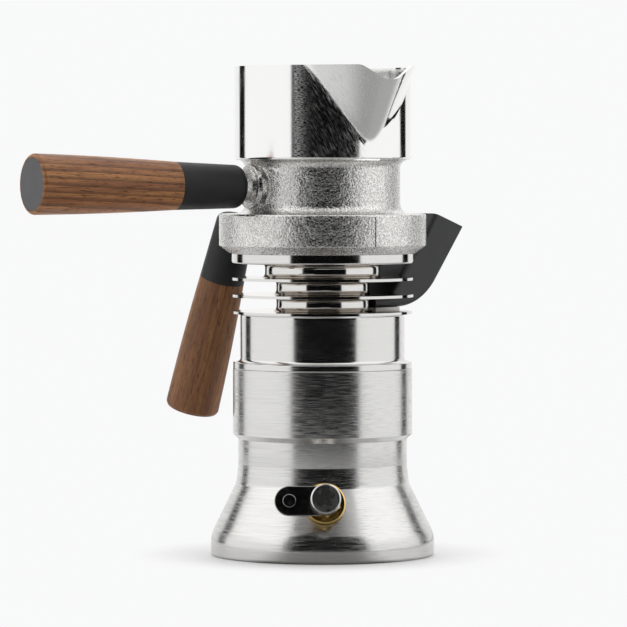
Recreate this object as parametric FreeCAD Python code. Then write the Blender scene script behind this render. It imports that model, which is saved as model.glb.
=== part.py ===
import FreeCAD, Part

# Stovetop espresso maker with two boilers, one above the other, and a pouring chamber on top.
# Millimetres, +Z up, origin in the middle of the base. The relief valve faces -Y.
# Azimuths are degrees from the front (-Y), positive towards +X.

import math
import os

from FreeCAD import Placement, Rotation, Vector

# Lower boiler
base_radius = 49.3
base_edge_height = 8.7
base_edge_round = 1.3
base_shoulder_round = 16.0
waist_radius = 37.2
cone_top = 32.0
cone_top_radius = 38.0
cone_crease_round = 3.0
flare_top = 40.0
flare_round = 8.0
cavity_round = 12.0
waist_top = 51.3
band_radius = 39.5
band_chamfer_height = 2.2
boiler_height = 82.3
boiler_wall = 4.2
boiler_floor = 8.0
boiler_corner_round = 4.0
thread_radius = 36.0
thread_depth = 22.3
thread_clearance = 0.3
boiler_gasket_width = 2.6
boiler_gasket_thickness = 2.0
edge_break = 0.3
cutter_overrun = 1.0

# Relief valve, along an axis that tilts upwards
relief_height = 25.4
relief_tilt = 12.0
relief_azimuth = 1.2
relief_boss_radius = 8.8
relief_boss_stand_out = 0.7
relief_spot_face_gap = 0.3
relief_boss_depth = 10.0
relief_port_radius = 5.0
relief_washer_thickness = 1.0
relief_washer_radius = 8.4
relief_flange_radius = 9.0
relief_flange_thickness = 3.0
relief_flange_round = 1.0
relief_stem_length = 9.0
relief_stem_round = 0.5
relief_neck_radius = 4.4
relief_neck_length = 5.0
relief_bore_radius = 3.4
relief_seat_radius = 2.0
relief_seat_depth = 4.0
relief_nut_across_flats = 12.0
relief_nut_cap = 1.4
relief_nut_chamfer = 0.8
relief_nut_turn = 8.0
plunger_head_radius = 3.1
plunger_head_length = 3.0
plunger_head_round = 0.4
plunger_stem_radius = 1.6
plunger_stem_clearance = 0.3
lever_gap = 0.3
lever_length = 15.5
lever_half_width = 6.4
lever_thickness = 2.0
lever_pin_radius = 1.6
lever_pin_head_radius = 2.9
lever_pin_head_height = 0.7
lever_pin_head_round = 0.4
knob_radius = 6.5
knob_length = 7.4
knob_chamfer = 0.6
knob_cap = 1.6
running_clearance = 0.05

# Upper boiler shell
ledge_setback = 0.1
ledge_height = 2.8
shell_radius = 36.2
shell_wall = 3.7
shell_height = 22.4
shell_cove_round = 1.8
shell_inside_round = 2.0
web_rise = 1.7
web_thickness = 4.5
web_port_radius = 6.0

# Heat exchanger above the shell
plate_radius = 39.7
plate_thickness = 2.8
plate_lip_thickness = 1.1
plate_cove_round = 0.9
fin_radius = 40.0
fin_thickness = 1.2
fin_gap = 6.2
core_radius = 20.5
core_root_round = 2.2
top_gap = 6.2
top_core_radius = 25.4
flange_radius = 40.2
flange_thickness = 4.5
flange_round = 0.8
spigot_radius = 39.0
spigot_height = 14.0
filler_port_width = 12.0
filler_port_length = 6.4

# Coffee basket and what closes it
basket_radius = 29.5
basket_wall = 0.8
basket_depth = 14.0
basket_corner_round = 1.5
basket_rim_radius = 35.0
basket_rim_thickness = 1.0
basket_clearance = 0.5
basket_floor_gap = 1.2
basket_recess_round = 1.0
group_gasket_inner_radius = 30.4
group_gasket_outer_radius = 38.6
group_gasket_thickness = 2.0
filter_plate_thickness = 1.0
filter_plate_clearance = 0.3
hole_radius = 0.8
hole_rings = 3
hole_ring_step = 7.0
holes_per_ring_step = 6

# Pressure valve under the web, and dip tube
valve_across_flats = 17.0
valve_collar_chamfer = 1.0
valve_length = 13.5
valve_bore_radius = 3.8
valve_seat_radius = 2.0
valve_seat_thickness = 2.0
valve_ball_radius = 3.0
valve_seat_gap = 0.02
valve_cap_flange_radius = 8.0
valve_cap_flange_thickness = 2.0
valve_cap_flange_round = 0.6
valve_cap_plug_length = 3.0
dip_tube_radius = 3.0
dip_tube_bore_radius = 2.0
dip_tube_socket = 6.0
dip_tube_floor_gap = 2.5

# Cooling coil: half turns that grow, then a riser and a run back to the middle
coil_tube_radius = 2.0
coil_bend_radius = 4.0
coil_first_radius = 7.0
coil_shell_gap = 1.4
coil_half_turns = 5
coil_plane_rise = 8.0
coil_layer_gap = 8.0
coil_bore_entry = 8.0
coil_bore_clearance = 0.3

# Black filler spout on the top plate
filler_azimuth = 135.0
filler_width = 20.0
filler_wall = 1.8
filler_gasket_thickness = 1.0
filler_notch_clearance = 0.5
filler_notch_overlap = 0.1
filler_foot_gap = 0.3
filler_core_gap = 0.7
filler_foot_overhang = 1.0
filler_mouth_inner = 22.1
filler_mouth_outer = 40.9
filler_mouth_inner_rise = 42.5
filler_mouth_outer_rise = 36.0
filler_back_elbow = (14.6, 2.2, 30.0)
filler_front_elbow = (15.3, 32.0, 20.0)
filler_front_knee = (3.8, 19.5, 40.0)
filler_front_foot = (-7.2, 2.0)
filler_edge_round = 2.2
filler_smallest_round = 0.2

# Lower handle, hanging outwards behind the left side
lower_handle_azimuth = -137.5
lower_handle_slope = 0.356
lower_arm_reach = 63.4
lower_arm_width = 10.0
lower_arm_thickness = 4.0
lower_arm_root = 3.0
lower_collar_above_arm = 19.2
lower_collar_length = 30.4
lower_collar_top_radius = 8.6
lower_collar_end_radius = 10.1
lower_collar_round = 3.5
lower_grip_length = 62.9
lower_grip_end_radius = 12.15
handle_stud_radius = 5.0
handle_stud_in_grip = 50.0
handle_stud_below_top = 5.0

# Upper chamber: ring, neck and jug
ring_foot_radius = 41.0
ring_radius = 45.6
ring_cone_height = 3.4
ring_height = 17.3
ring_edge_round = 0.9
ring_shoulder_round = 0.5
ring_mark_azimuth = 30.0
ring_mark_width = 0.6
ring_mark_depth = 0.5
neck_radius = 34.2
neck_wall = 3.2
neck_height = 23.7
neck_lower_round = 4.6
neck_upper_round = 3.6
jug_radius = 39.05
jug_height = 40.9
jug_wall = 2.0
jug_edge_round = 1.1
jug_floor_round = 3.0
neck_inside_round = 2.0
chamber_floor = 4.5

# Pouring lip: a bulge whose flanks leave the jug along two lines that meet at an apex below the rim
spout_azimuth = 36.5
spout_lean = 6.0
spout_apex_drop = 37.4
spout_slope = 0.45
spout_spread = 0.79
spout_apex_nose = 5.0
spout_rim_nose = 10.0
spout_blend = 1.3
spout_sink = 0.3
spout_foot_drop = 4.0
spout_margin = 1.6
spout_sections = 12
spout_half_points = 16
lip_dip_depth = 6.2
lip_dip_half_width = 13.8
lip_dip_floor_half_width = 4.0
lip_dip_floor_round = 9.0
lip_dip_shoulder_round = 5.0
lip_dip_run_out = 10.0

# Chimney in the chamber
chimney_radius = 5.5
chimney_bore_radius = 3.5
chimney_height = 36.0
chimney_foot_radius = 8.0
chimney_foot_height = 3.0
chimney_foot_round = 1.0
chimney_foot_cove = 1.5
chimney_cap_wall = 1.2
chimney_cap_height = 12.0
chimney_cap_clearance = 0.3
chimney_cap_round = 1.5
chimney_cap_inside_round = 0.4
chimney_window_height = 5.0
chimney_window_width = 4.0
chimney_windows = 3

# Upper handle
upper_handle_azimuth = -61.0
upper_handle_rise = 11.45
upper_handle_tilt = 0.76
stub_radius = 6.35
stub_end = 44.0
boss_radius = 10.0
boss_reach = 36.4
boss_edge_round = 1.6
stub_edge_round = 0.5
upper_collar_start = 40.6
upper_collar_length = 32.8
upper_collar_start_radius = 9.35
upper_collar_end_radius = 10.45
upper_collar_round = 4.3
upper_grip_length = 67.6
upper_grip_end_radius = 13.05
upper_stud_radius = 4.0
upper_stud_in_stub = 10.0
upper_stud_in_grip = 50.0
grip_end_round = 1.5
end_disc_radius = 11.5
end_disc_thickness = 2.0
grip_swell = 0.35

# Springs, wound from flat wire
spring_turns = 4
spring_wire_width = 0.7
spring_wire_height = 0.7
spring_wall_gap = 0.3

# Levels, from the hob upwards
seat_level = boiler_height - thread_depth
shell_foot = seat_level + boiler_gasket_thickness
ledge_top = boiler_height + ledge_height
web_top = boiler_height + web_rise
web_bottom = web_top - web_thickness
plate_bottom = boiler_height + shell_height
plate_top = plate_bottom + plate_thickness
fin_levels = [plate_top + fin_gap, plate_top + 2 * fin_gap + fin_thickness]
flange_bottom = fin_levels[1] + fin_thickness + top_gap
flange_top = flange_bottom + flange_thickness
spigot_top = flange_top + spigot_height
basket_seat = spigot_top - basket_rim_thickness
basket_bottom = basket_seat - basket_depth
chamber_ceiling = spigot_top + group_gasket_thickness
chamber_floor_top = chamber_ceiling + chamber_floor
ring_top = flange_top + ring_height
upper_handle_level = ring_top + upper_handle_rise
jug_bottom = ring_top + neck_height
rim_level = jug_bottom + jug_height

# Radii that follow from the ones above
cone_slope = (base_radius - cone_top_radius) / (cone_top - base_edge_height)
cone_wall = boiler_wall * math.hypot(1, cone_slope)
boiler_bore = waist_radius - boiler_wall
shell_foot_radius = thread_radius - thread_clearance
shell_bore = shell_radius - shell_wall
shell_foot_bore = shell_foot_radius - shell_wall
ledge_radius = band_radius - ledge_setback
ring_bore = spigot_radius + thread_clearance
basket_cavity_radius = basket_radius + basket_clearance
basket_recess_radius = basket_rim_radius + thread_clearance
jug_bore = jug_radius - jug_wall
neck_bore = neck_radius - neck_wall
water_bore_radius = coil_tube_radius + coil_bore_clearance
filler_inner = core_radius + core_root_round + filler_core_gap
filler_outer = plate_radius - filler_foot_overhang

CENTRE = Vector(0, 0, 0)
UP = Vector(0, 0, 1)


def outwards(azimuth):
    """Level unit vector at an azimuth from the front."""
    angle = math.radians(azimuth)
    return Vector(math.sin(angle), -math.cos(angle), 0)


def upright(point):
    """Puts a profile point (radius, height) into the XZ plane."""
    return Vector(point.x, 0, point.y)


def rounded_wire(corners, place=upright):
    """Closed wire through corners (a, b) or (a, b, round); a round is an arc tangent to both its sides."""
    joints = []
    for number, corner in enumerate(corners):
        here = Vector(corner[0], corner[1], 0)
        back = Vector(*corners[number - 1][:2], 0) - here
        ahead = Vector(*corners[(number + 1) % len(corners)][:2], 0) - here
        back.normalize()
        ahead.normalize()
        radius = corner[2] if len(corner) > 2 else 0
        if not radius:
            joints.append((here, None, here))
            continue
        half = back.getAngle(ahead) / 2
        setback = radius / math.tan(half)
        inward = (back + ahead).normalize()
        crown = here + inward * (radius / math.sin(half) - radius)
        joints.append((here + back * setback, crown, here + ahead * setback))
    edges = []
    for number, (start, crown, end) in enumerate(joints):
        if crown:
            edges.append(Part.Arc(place(start), place(crown), place(end)).toShape())
        following = joints[(number + 1) % len(joints)][0]
        if end.distanceToPoint(following) > 1e-6:
            edges.append(Part.LineSegment(place(end), place(following)).toShape())
    return Part.Wire(edges)


def turned(corners):
    """Solid of revolution about Z from a profile of (radius, height) corners."""
    return Part.Face(rounded_wire(corners)).revolve(CENTRE, UP, 360)


def rod(radius, bottom, top, x=0, y=0):
    """Upright cylinder between two levels."""
    return Part.makeCylinder(radius, top - bottom, Vector(x, y, bottom), UP)


def block(low, high):
    """Box between two corners."""
    return Part.makeBox(high[0] - low[0], high[1] - low[1], high[2] - low[2], Vector(*low))


def hexagon(across_flats, bottom, top, chamfer):
    """Hexagonal bar about Z with its corners turned off at the top, one corner towards -Y."""
    corner_radius = across_flats / math.sqrt(3)
    points = [outwards(60 * side) * corner_radius + UP * bottom for side in range(7)]
    bar = Part.Face(Part.makePolygon(points)).extrude(UP * (top - bottom))
    envelope = turned([
        (0, bottom), (corner_radius, bottom), (corner_radius, top - chamfer),
        (corner_radius - chamfer * math.sqrt(3), top), (0, top),
    ])
    return bar.common(envelope)


def flat_wire_spring(outer_radius, bottom, top):
    """Compression spring of flat wire about Z, between two levels."""
    middle = outer_radius - spring_wire_width / 2
    travel = top - bottom - spring_wire_height
    helix = Part.makeHelix(travel / spring_turns, travel, middle)
    low = (middle - spring_wire_width / 2, -spring_wire_height / 2)
    high = (middle + spring_wire_width / 2, spring_wire_height / 2)
    section = rounded_wire([low, (high[0], low[1]), high, (low[0], high[1])])
    coil = Part.Wire(helix).makePipeShell([section], True, True)
    coil.translate(UP * (bottom + spring_wire_height / 2))
    return coil


def holes(bottom, top):
    """Rings of small drilled holes about Z."""
    drills = []
    for ring in range(1, hole_rings + 1):
        count = holes_per_ring_step * ring
        for number in range(count):
            place = outwards(360 * number / count) * (hole_ring_step * ring)
            drills.append(rod(hole_radius, bottom, top, place.x, place.y))
    return Part.Compound(drills)


def stand(shape, origin, along, across=None):
    """Moves a piece made about Z so that Z points along a direction, and X across it if that is given."""
    if across is None:
        turn = Rotation(UP, along)
    else:
        turn = Rotation(across, along.cross(across), along, "ZXY")
    moved = shape.copy()
    moved.Placement = Placement(origin, turn).multiply(moved.Placement)
    return moved


# The relief valve's own frame: Z outwards along its tilted axis, X towards the right
relief_out = outwards(relief_azimuth)
relief_axis = relief_out * math.cos(math.radians(relief_tilt)) + UP * math.sin(math.radians(relief_tilt))
relief_face = base_radius - (relief_height - base_edge_height) * cone_slope + relief_boss_stand_out
relief_origin = relief_out * relief_face + UP * relief_height
nut_start = relief_washer_thickness + relief_flange_thickness
nut_end = nut_start + relief_neck_length + relief_nut_cap
plunger_start = relief_washer_thickness - relief_stem_length + relief_seat_depth
spring_start = plunger_start + plunger_head_length
lever_start = nut_end + lever_gap
knob_start = lever_start + lever_thickness
knob_end = knob_start + knob_length


def on_relief(shape):
    return stand(shape, relief_origin, relief_axis, UP.cross(relief_out))


def lower_boiler():
    """Turned boiler: flat base, cone, flare, waist, and a band with the thread's bore and the gasket's seat."""
    body = turned([
        (0, 0), (base_radius, 0, base_edge_round), (base_radius, base_edge_height, base_shoulder_round),
        (cone_top_radius, cone_top, cone_crease_round), (waist_radius, flare_top, flare_round),
        (waist_radius, waist_top),
        (band_radius, waist_top + band_chamfer_height, edge_break), (band_radius, boiler_height, edge_break),
        (thread_radius, boiler_height, edge_break), (thread_radius, seat_level), (0, seat_level),
    ])
    floor_radius = base_radius + (base_edge_height - boiler_floor) * cone_slope - cone_wall
    cavity = turned([
        (0, boiler_floor), (floor_radius, boiler_floor, boiler_corner_round),
        (boiler_bore, cone_top, cavity_round), (boiler_bore, seat_level + cutter_overrun),
        (0, seat_level + cutter_overrun),
    ])
    boss = on_relief(rod(relief_boss_radius, -relief_boss_depth, 0))
    spot_face = on_relief(rod(relief_flange_radius + relief_spot_face_gap, 0, relief_boss_depth))
    port = on_relief(rod(relief_port_radius, -2 * relief_boss_depth, cutter_overrun))
    return body.cut(cavity).fuse(boss).cut(spot_face).cut(port)


def relief_washer():
    washer = rod(relief_washer_radius, 0, relief_washer_thickness)
    return on_relief(washer.cut(rod(relief_port_radius, 0, relief_washer_thickness)))


def relief_valve_body():
    """Brass body: screwed stem, round flange, neck for the nut, and the plunger's bore with its seat."""
    inner_end = relief_washer_thickness - relief_stem_length
    seat_end = inner_end + relief_seat_depth
    return on_relief(turned([
        (relief_seat_radius, inner_end),
        (relief_port_radius - running_clearance, inner_end, relief_stem_round),
        (relief_port_radius - running_clearance, relief_washer_thickness),
        (relief_flange_radius, relief_washer_thickness, relief_flange_round),
        (relief_flange_radius, nut_start, relief_flange_round),
        (relief_neck_radius, nut_start), (relief_neck_radius, nut_start + relief_neck_length),
        (relief_bore_radius, nut_start + relief_neck_length), (relief_bore_radius, seat_end),
        (relief_seat_radius, seat_end),
    ]))


def relief_nut():
    """Hexagon cap nut that holds the spring in, with a hole for the plunger's stem."""
    nut = hexagon(relief_nut_across_flats, nut_start, nut_end, relief_nut_chamfer)
    nut.rotate(CENTRE, UP, relief_nut_turn)
    thread = rod(relief_neck_radius + running_clearance, nut_start, nut_start + relief_neck_length)
    stem_hole = rod(plunger_stem_radius + plunger_stem_clearance, nut_start, nut_end)
    return on_relief(nut.cut(thread).cut(stem_hole))


def relief_plunger():
    """Plunger whose head closes the seat and whose stem comes out through the nut into the knob."""
    stem_end = knob_end - knob_cap
    return on_relief(turned([
        (0, plunger_start), (plunger_head_radius, plunger_start, plunger_head_round),
        (plunger_head_radius, spring_start),
        (plunger_stem_radius, spring_start), (plunger_stem_radius, stem_end), (0, stem_end),
    ]))


def relief_spring():
    outer = relief_bore_radius - spring_wall_gap
    return on_relief(flat_wire_spring(outer, spring_start, nut_start + relief_neck_length))


def release_lever():
    """Flat lever with round ends, one about the valve's stem and one to the left of it."""
    top = lever_start + lever_thickness
    half = lever_half_width
    near, far = Vector(0, 0, lever_start), Vector(-lever_length, 0, lever_start)
    outline = Part.Wire([
        Part.Arc(near + Vector(0, -half, 0), near + Vector(half, 0, 0), near + Vector(0, half, 0)).toShape(),
        Part.LineSegment(near + Vector(0, half, 0), far + Vector(0, half, 0)).toShape(),
        Part.Arc(far + Vector(0, half, 0), far + Vector(-half, 0, 0), far + Vector(0, -half, 0)).toShape(),
        Part.LineSegment(far + Vector(0, -half, 0), near + Vector(0, -half, 0)).toShape(),
    ])
    plate = Part.Face(outline).extrude(UP * lever_thickness)
    rim = [edge for edge in plate.Edges if abs(edge.BoundBox.ZMin - top) < 1e-6]
    plate = plate.makeChamfer(edge_break, rim)
    stem_hole = rod(plunger_stem_radius + running_clearance, lever_start, top)
    pin_hole = rod(lever_pin_radius, lever_start, top, -lever_length)
    return on_relief(plate.cut(stem_hole).cut(pin_hole))


def lever_pin():
    top = lever_start + lever_thickness
    pin = turned([
        (0, lever_start), (lever_pin_radius, lever_start), (lever_pin_radius, top),
        (lever_pin_head_radius, top),
        (lever_pin_head_radius, top + lever_pin_head_height, lever_pin_head_round),
        (0, top + lever_pin_head_height),
    ])
    pin.translate(Vector(-lever_length, 0, 0))
    return on_relief(pin)


def relief_knob():
    """Round knob screwed on the plunger's stem."""
    hole = plunger_stem_radius + running_clearance
    return on_relief(turned([
        (hole, knob_start), (knob_radius, knob_start, edge_break), (knob_radius, knob_end - knob_chamfer),
        (knob_radius - knob_chamfer, knob_end), (0, knob_end), (0, knob_end - knob_cap),
        (hole, knob_end - knob_cap),
    ]))


def boiler_gasket():
    outer = thread_radius - thread_clearance
    return turned([
        (outer - boiler_gasket_width, seat_level), (outer, seat_level),
        (outer, shell_foot), (outer - boiler_gasket_width, shell_foot),
    ])


def upper_boiler_shell():
    """Turned cup with a hollow threaded foot; its web is the floor of the upper boiler."""
    shell = turned([
        (shell_foot_bore, shell_foot, edge_break), (shell_foot_radius, shell_foot, edge_break),
        (shell_foot_radius, boiler_height), (ledge_radius, boiler_height, edge_break),
        (ledge_radius, ledge_top, edge_break), (shell_radius, ledge_top, shell_cove_round),
        (shell_radius, plate_bottom), (shell_bore, plate_bottom), (shell_bore, web_top, shell_inside_round),
        (0, web_top), (0, web_bottom), (shell_foot_bore, web_bottom, shell_inside_round),
    ])
    return shell.cut(rod(web_port_radius, web_bottom - cutter_overrun, web_top + cutter_overrun))


def heat_exchanger():
    """One turned bar: plate over the upper boiler, two fins on a core, flange, and the basket's spigot."""
    root = core_root_round
    lip_bottom = plate_top - plate_lip_thickness
    top_groove = fin_levels[1] + fin_thickness
    recess_floor = basket_bottom - basket_floor_gap
    outline = [
        (0, plate_bottom), (shell_radius, plate_bottom), (shell_radius, lip_bottom, plate_cove_round),
        (plate_radius, lip_bottom), (plate_radius, plate_top), (core_radius, plate_top, root),
    ]
    for level in fin_levels:
        outline += [(core_radius, level, root), (fin_radius, level), (fin_radius, level + fin_thickness)]
        if level != fin_levels[-1]:
            outline.append((core_radius, level + fin_thickness, root))
    outline += [
        (top_core_radius, top_groove, root), (top_core_radius, flange_bottom, root),
        (flange_radius, flange_bottom, flange_round), (flange_radius, flange_top, edge_break),
        (spigot_radius, flange_top), (spigot_radius, spigot_top, edge_break),
        (basket_recess_radius, spigot_top), (basket_recess_radius, basket_seat),
        (basket_cavity_radius, basket_seat),
        (basket_cavity_radius, recess_floor, basket_recess_round), (0, recess_floor),
    ]
    body = turned(outline)
    water_bore = rod(water_bore_radius, plate_bottom - cutter_overrun, basket_bottom)
    port = filler_port(plate_bottom - cutter_overrun, plate_top + cutter_overrun)
    return body.cut(water_bore).cut(fin_notch()).cut(port)


def filler_profile(wall=0.0):
    """Side view of the filler spout as corners (radius, height), each side moved inwards by the wall."""
    foot = plate_top + filler_gasket_thickness
    foot_top = fin_levels[0] - filler_foot_gap
    back_elbow, front_elbow, front_knee = filler_back_elbow, filler_front_elbow, filler_front_knee
    corners = [
        (filler_inner, foot), (filler_outer, foot),
        (flange_radius + back_elbow[0], plate_top + back_elbow[1], back_elbow[2]),
        (flange_radius + filler_mouth_outer, plate_top + filler_mouth_outer_rise),
        (flange_radius + filler_mouth_inner, plate_top + filler_mouth_inner_rise),
        (flange_radius + front_elbow[0], plate_top + front_elbow[1], front_elbow[2]),
        (flange_radius + front_knee[0], plate_top + front_knee[1], front_knee[2]),
        (flange_radius + filler_front_foot[0], foot_top, filler_front_foot[1]), (filler_inner, foot_top),
    ]
    return inset(corners, wall, open_side=3) if wall else corners


def inset(corners, wall, open_side):
    """Moves each side of an anticlockwise outline inwards by the wall, except one, which moves outwards."""
    sides = []
    for number, corner in enumerate(corners):
        start = Vector(corner[0], corner[1], 0)
        end = Vector(*corners[(number + 1) % len(corners)][:2], 0)
        along = (end - start).normalize()
        shift = -wall if number == open_side else wall
        sides.append((start + Vector(-along.y, along.x, 0) * shift, along))
    moved = []
    for number, corner in enumerate(corners):
        (first, first_way), (second, second_way) = sides[number - 1], sides[number]
        cross = first_way.x * second_way.y - first_way.y * second_way.x
        gap = second - first
        reach = (gap.x * second_way.y - gap.y * second_way.x) / cross
        point = first + first_way * reach
        if len(corner) > 2:
            turn = wall if cross < 0 else -wall
            moved.append((point.x, point.y, max(corner[2] + turn, filler_smallest_round)))
        else:
            moved.append((point.x, point.y))
    return moved


def filler_slab(corners, width):
    """Extrudes a side view across the filler spout's width and turns it to its azimuth."""
    face = Part.Face(rounded_wire(corners, lambda point: Vector(point.x, -width / 2, point.y)))
    slab = face.extrude(Vector(0, width, 0))
    slab.rotate(CENTRE, UP, filler_azimuth - 90)
    return slab


def filler_port(bottom, top):
    """Slot from the filler spout's foot down into the upper boiler."""
    inner = filler_inner + filler_wall
    half = filler_port_width / 2
    slot = block((inner, -half, bottom), (inner + filler_port_length, half, top))
    slot.rotate(CENTRE, UP, filler_azimuth - 90)
    return slot


def fin_notch():
    """Room in the fins for the filler spout."""
    room = filler_notch_clearance
    front_elbow, front_knee, front_foot = filler_profile()[5:8]
    bottom = fin_levels[0] - filler_notch_overlap
    top = fin_levels[1] + fin_thickness + cutter_overrun
    outer = fin_radius + cutter_overrun
    corners = [
        (front_foot[0] - room, bottom), (outer, bottom), (outer, top),
        (front_knee[0] - room, top), (front_knee[0] - room, front_knee[1]),
    ]
    return filler_slab(corners, filler_width + 2 * room)


def filler_spout():
    """Moulded duct with thin walls, open at its mouth and over the port."""
    duct = filler_slab(filler_profile(), filler_width)
    across = UP.cross(outwards(filler_azimuth))
    mouth_low = plate_top + filler_mouth_outer_rise
    corners = []
    for edge in duct.Edges:
        start, end = (vertex.Point for vertex in edge.Vertexes)
        along_duct = abs((end - start).dot(across)) < 1e-3
        above_foot = max(start.z, end.z) > fin_levels[0]
        below_mouth = min(start.z, end.z) < mouth_low - cutter_overrun
        if along_duct and above_foot and below_mouth:
            corners.append(edge)
    duct = duct.makeFillet(filler_edge_round, corners)
    cavity = filler_slab(filler_profile(filler_wall), filler_width - 2 * filler_wall)
    port = filler_port(plate_top, plate_top + filler_gasket_thickness + filler_wall + cutter_overrun)
    return duct.cut(cavity).cut(port)


def filler_gasket():
    half = filler_width / 2
    top = plate_top + filler_gasket_thickness
    pad = block((filler_inner, -half, plate_top), (filler_outer, half, top))
    pad.rotate(CENTRE, UP, filler_azimuth - 90)
    return pad.cut(filler_port(plate_top, top))


def coffee_basket():
    """Cup for the grounds with a flat rim and a drilled floor."""
    inner = basket_radius - basket_wall
    floor_top = basket_bottom + basket_wall
    cup = turned([
        (0, basket_bottom), (basket_radius, basket_bottom, basket_corner_round), (basket_radius, basket_seat),
        (basket_rim_radius, basket_seat), (basket_rim_radius, spigot_top), (inner, spigot_top),
        (inner, floor_top, basket_corner_round - basket_wall), (0, floor_top),
    ])
    return cup.cut(holes(basket_bottom - cutter_overrun, floor_top + cutter_overrun))


def group_gasket():
    return turned([
        (group_gasket_inner_radius, spigot_top), (group_gasket_outer_radius, spigot_top),
        (group_gasket_outer_radius, chamber_ceiling), (group_gasket_inner_radius, chamber_ceiling),
    ])


def filter_plate():
    """Drilled disc that lies on the basket's rim, inside the gasket."""
    radius = group_gasket_inner_radius - filter_plate_clearance
    top = spigot_top + filter_plate_thickness
    return rod(radius, spigot_top, top).cut(holes(spigot_top - cutter_overrun, top + cutter_overrun))


# Pressure valve, from the dip tube's socket up to the outlet on the web
valve_bottom = web_bottom - valve_length
socket_end = valve_bottom + dip_tube_socket
valve_seat = socket_end + valve_seat_thickness
ball_level = valve_seat + math.sqrt(valve_ball_radius ** 2 - valve_seat_radius ** 2) + valve_seat_gap
cap_plug_bottom = web_top - valve_cap_plug_length
outlet_level = web_top + valve_cap_flange_thickness


def pressure_valve_body():
    """Hexagonal brass valve body screwed up into the web, with a socket, a seat and the ball's bore."""
    collar = hexagon(valve_across_flats, valve_bottom, web_bottom, valve_collar_chamfer)
    stem = rod(web_port_radius, web_bottom, web_top)
    socket = rod(dip_tube_radius + running_clearance, valve_bottom, socket_end)
    inlet = rod(valve_seat_radius, valve_bottom, valve_seat + cutter_overrun)
    bore = rod(valve_bore_radius, valve_seat, web_top)
    return collar.fuse(stem).cut(socket).cut(inlet).cut(bore)


def pressure_valve_ball():
    return Part.makeSphere(valve_ball_radius, Vector(0, 0, ball_level))


def pressure_valve_spring():
    outer = valve_bore_radius - spring_wall_gap
    return flat_wire_spring(outer, ball_level + valve_ball_radius, cap_plug_bottom)


def pressure_valve_cap():
    """Cap on the web that holds the spring down and takes the end of the coil."""
    plug = valve_bore_radius - running_clearance
    return turned([
        (coil_tube_radius, cap_plug_bottom), (plug, cap_plug_bottom), (plug, web_top),
        (valve_cap_flange_radius, web_top),
        (valve_cap_flange_radius, outlet_level, valve_cap_flange_round), (coil_tube_radius, outlet_level),
    ])


def dip_tube():
    foot = boiler_floor + dip_tube_floor_gap
    return turned([
        (dip_tube_bore_radius, foot), (dip_tube_radius, foot),
        (dip_tube_radius, socket_end), (dip_tube_bore_radius, socket_end),
    ])


def coil_route():
    """Edges of the coil's centre line, each tangent to the next."""
    edges = []
    bend = coil_bend_radius
    level = web_top + coil_plane_rise
    widest = shell_bore - coil_shell_gap - coil_tube_radius - math.hypot(bend, coil_first_radius)
    growth = (widest - coil_first_radius) / (coil_half_turns - 1)
    upper_level = level + coil_layer_gap

    def line(start, end):
        if start.distanceToPoint(end) > 1e-6:
            edges.append(Part.LineSegment(start, end).toShape())

    def quarter(start, way, new_way):
        """Quarter turn of the bend radius from one direction into another."""
        centre = start + new_way * bend
        crown = centre + (way - new_way) * (bend / math.sqrt(2))
        end = centre + way * bend
        edges.append(Part.Arc(start, crown, end).toShape())
        return end

    def half_turn(start, way, side, radius):
        """Level half turn that starts along a direction and curves to one side."""
        end = start + side * (2 * radius)
        edges.append(Part.Arc(start, start + side * radius + way * radius, end).toShape())
        return end

    right, back = Vector(1, 0, 0), Vector(0, 1, 0)
    outlet = Vector(0, 0, outlet_level - valve_cap_flange_thickness)
    foot = Vector(0, 0, level - bend)
    line(outlet, foot)
    place = quarter(foot, UP, right)
    way, side = right, back
    for number in range(coil_half_turns):
        place = half_turn(place, way, side, coil_first_radius + number * growth)
        way, side = way * -1, side * -1
    place = quarter(place, way, UP)
    above = Vector(place.x, place.y, upper_level - bend)
    line(place, above)
    place = quarter(above, UP, back * -1)
    inner_end = Vector(place.x, bend, upper_level)
    line(place, inner_end)
    place = quarter(inner_end, back * -1, UP)
    line(place, Vector(place.x, place.y, plate_bottom + coil_bore_entry))
    return edges


def cooling_coil():
    """Flat spiral of tube that carries the hot water through the upper boiler and into the core."""
    route = coil_route()
    section = Part.Face(Part.Wire(Part.Circle(route[0].firstVertex().Point, UP, coil_tube_radius).toShape()))
    return Part.Wire(route).makePipe(section)


# The lower handle's axis runs outwards as it goes down
lower_out = outwards(lower_handle_azimuth)
lower_axis = (lower_out * lower_handle_slope - UP).normalize()
arm_level = flange_bottom + flange_thickness / 2
arm_end = lower_out * lower_arm_reach + UP * arm_level
lower_origin = arm_end - lower_axis * lower_collar_above_arm


def on_lower_handle(shape):
    return stand(shape, lower_origin, lower_axis, lower_axis.cross(lower_out).normalize())


def lower_arm_tongue(margin=0.0):
    """Flat bar from the flange out to the handle's axis."""
    half = lower_arm_width / 2 + margin
    rise = lower_arm_thickness / 2 + margin
    inner = flange_radius - lower_arm_root
    bar = block((inner, -half, arm_level - rise), (lower_arm_reach, half, arm_level + rise))
    bar.rotate(CENTRE, UP, lower_handle_azimuth - 90)
    return bar


def lower_handle_arm():
    """Steel tongue welded to the flange's edge, with the stud that runs down into the grip."""
    stud = on_lower_handle(rod(handle_stud_radius, handle_stud_below_top,
                               lower_collar_length + handle_stud_in_grip))
    tongue = lower_arm_tongue().cut(rod(flange_radius, flange_bottom, flange_top))
    return tongue.fuse(stud)


def lower_handle_collar():
    """Moulded collar, bored for the stud and slotted for the tongue."""
    collar = turned([
        (0, 0), (lower_collar_top_radius, 0, lower_collar_round),
        (lower_collar_end_radius, lower_collar_length), (0, lower_collar_length),
    ])
    bore = rod(handle_stud_radius + running_clearance, handle_stud_below_top, lower_collar_length)
    return on_lower_handle(collar.cut(bore)).cut(lower_arm_tongue(running_clearance))


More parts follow.
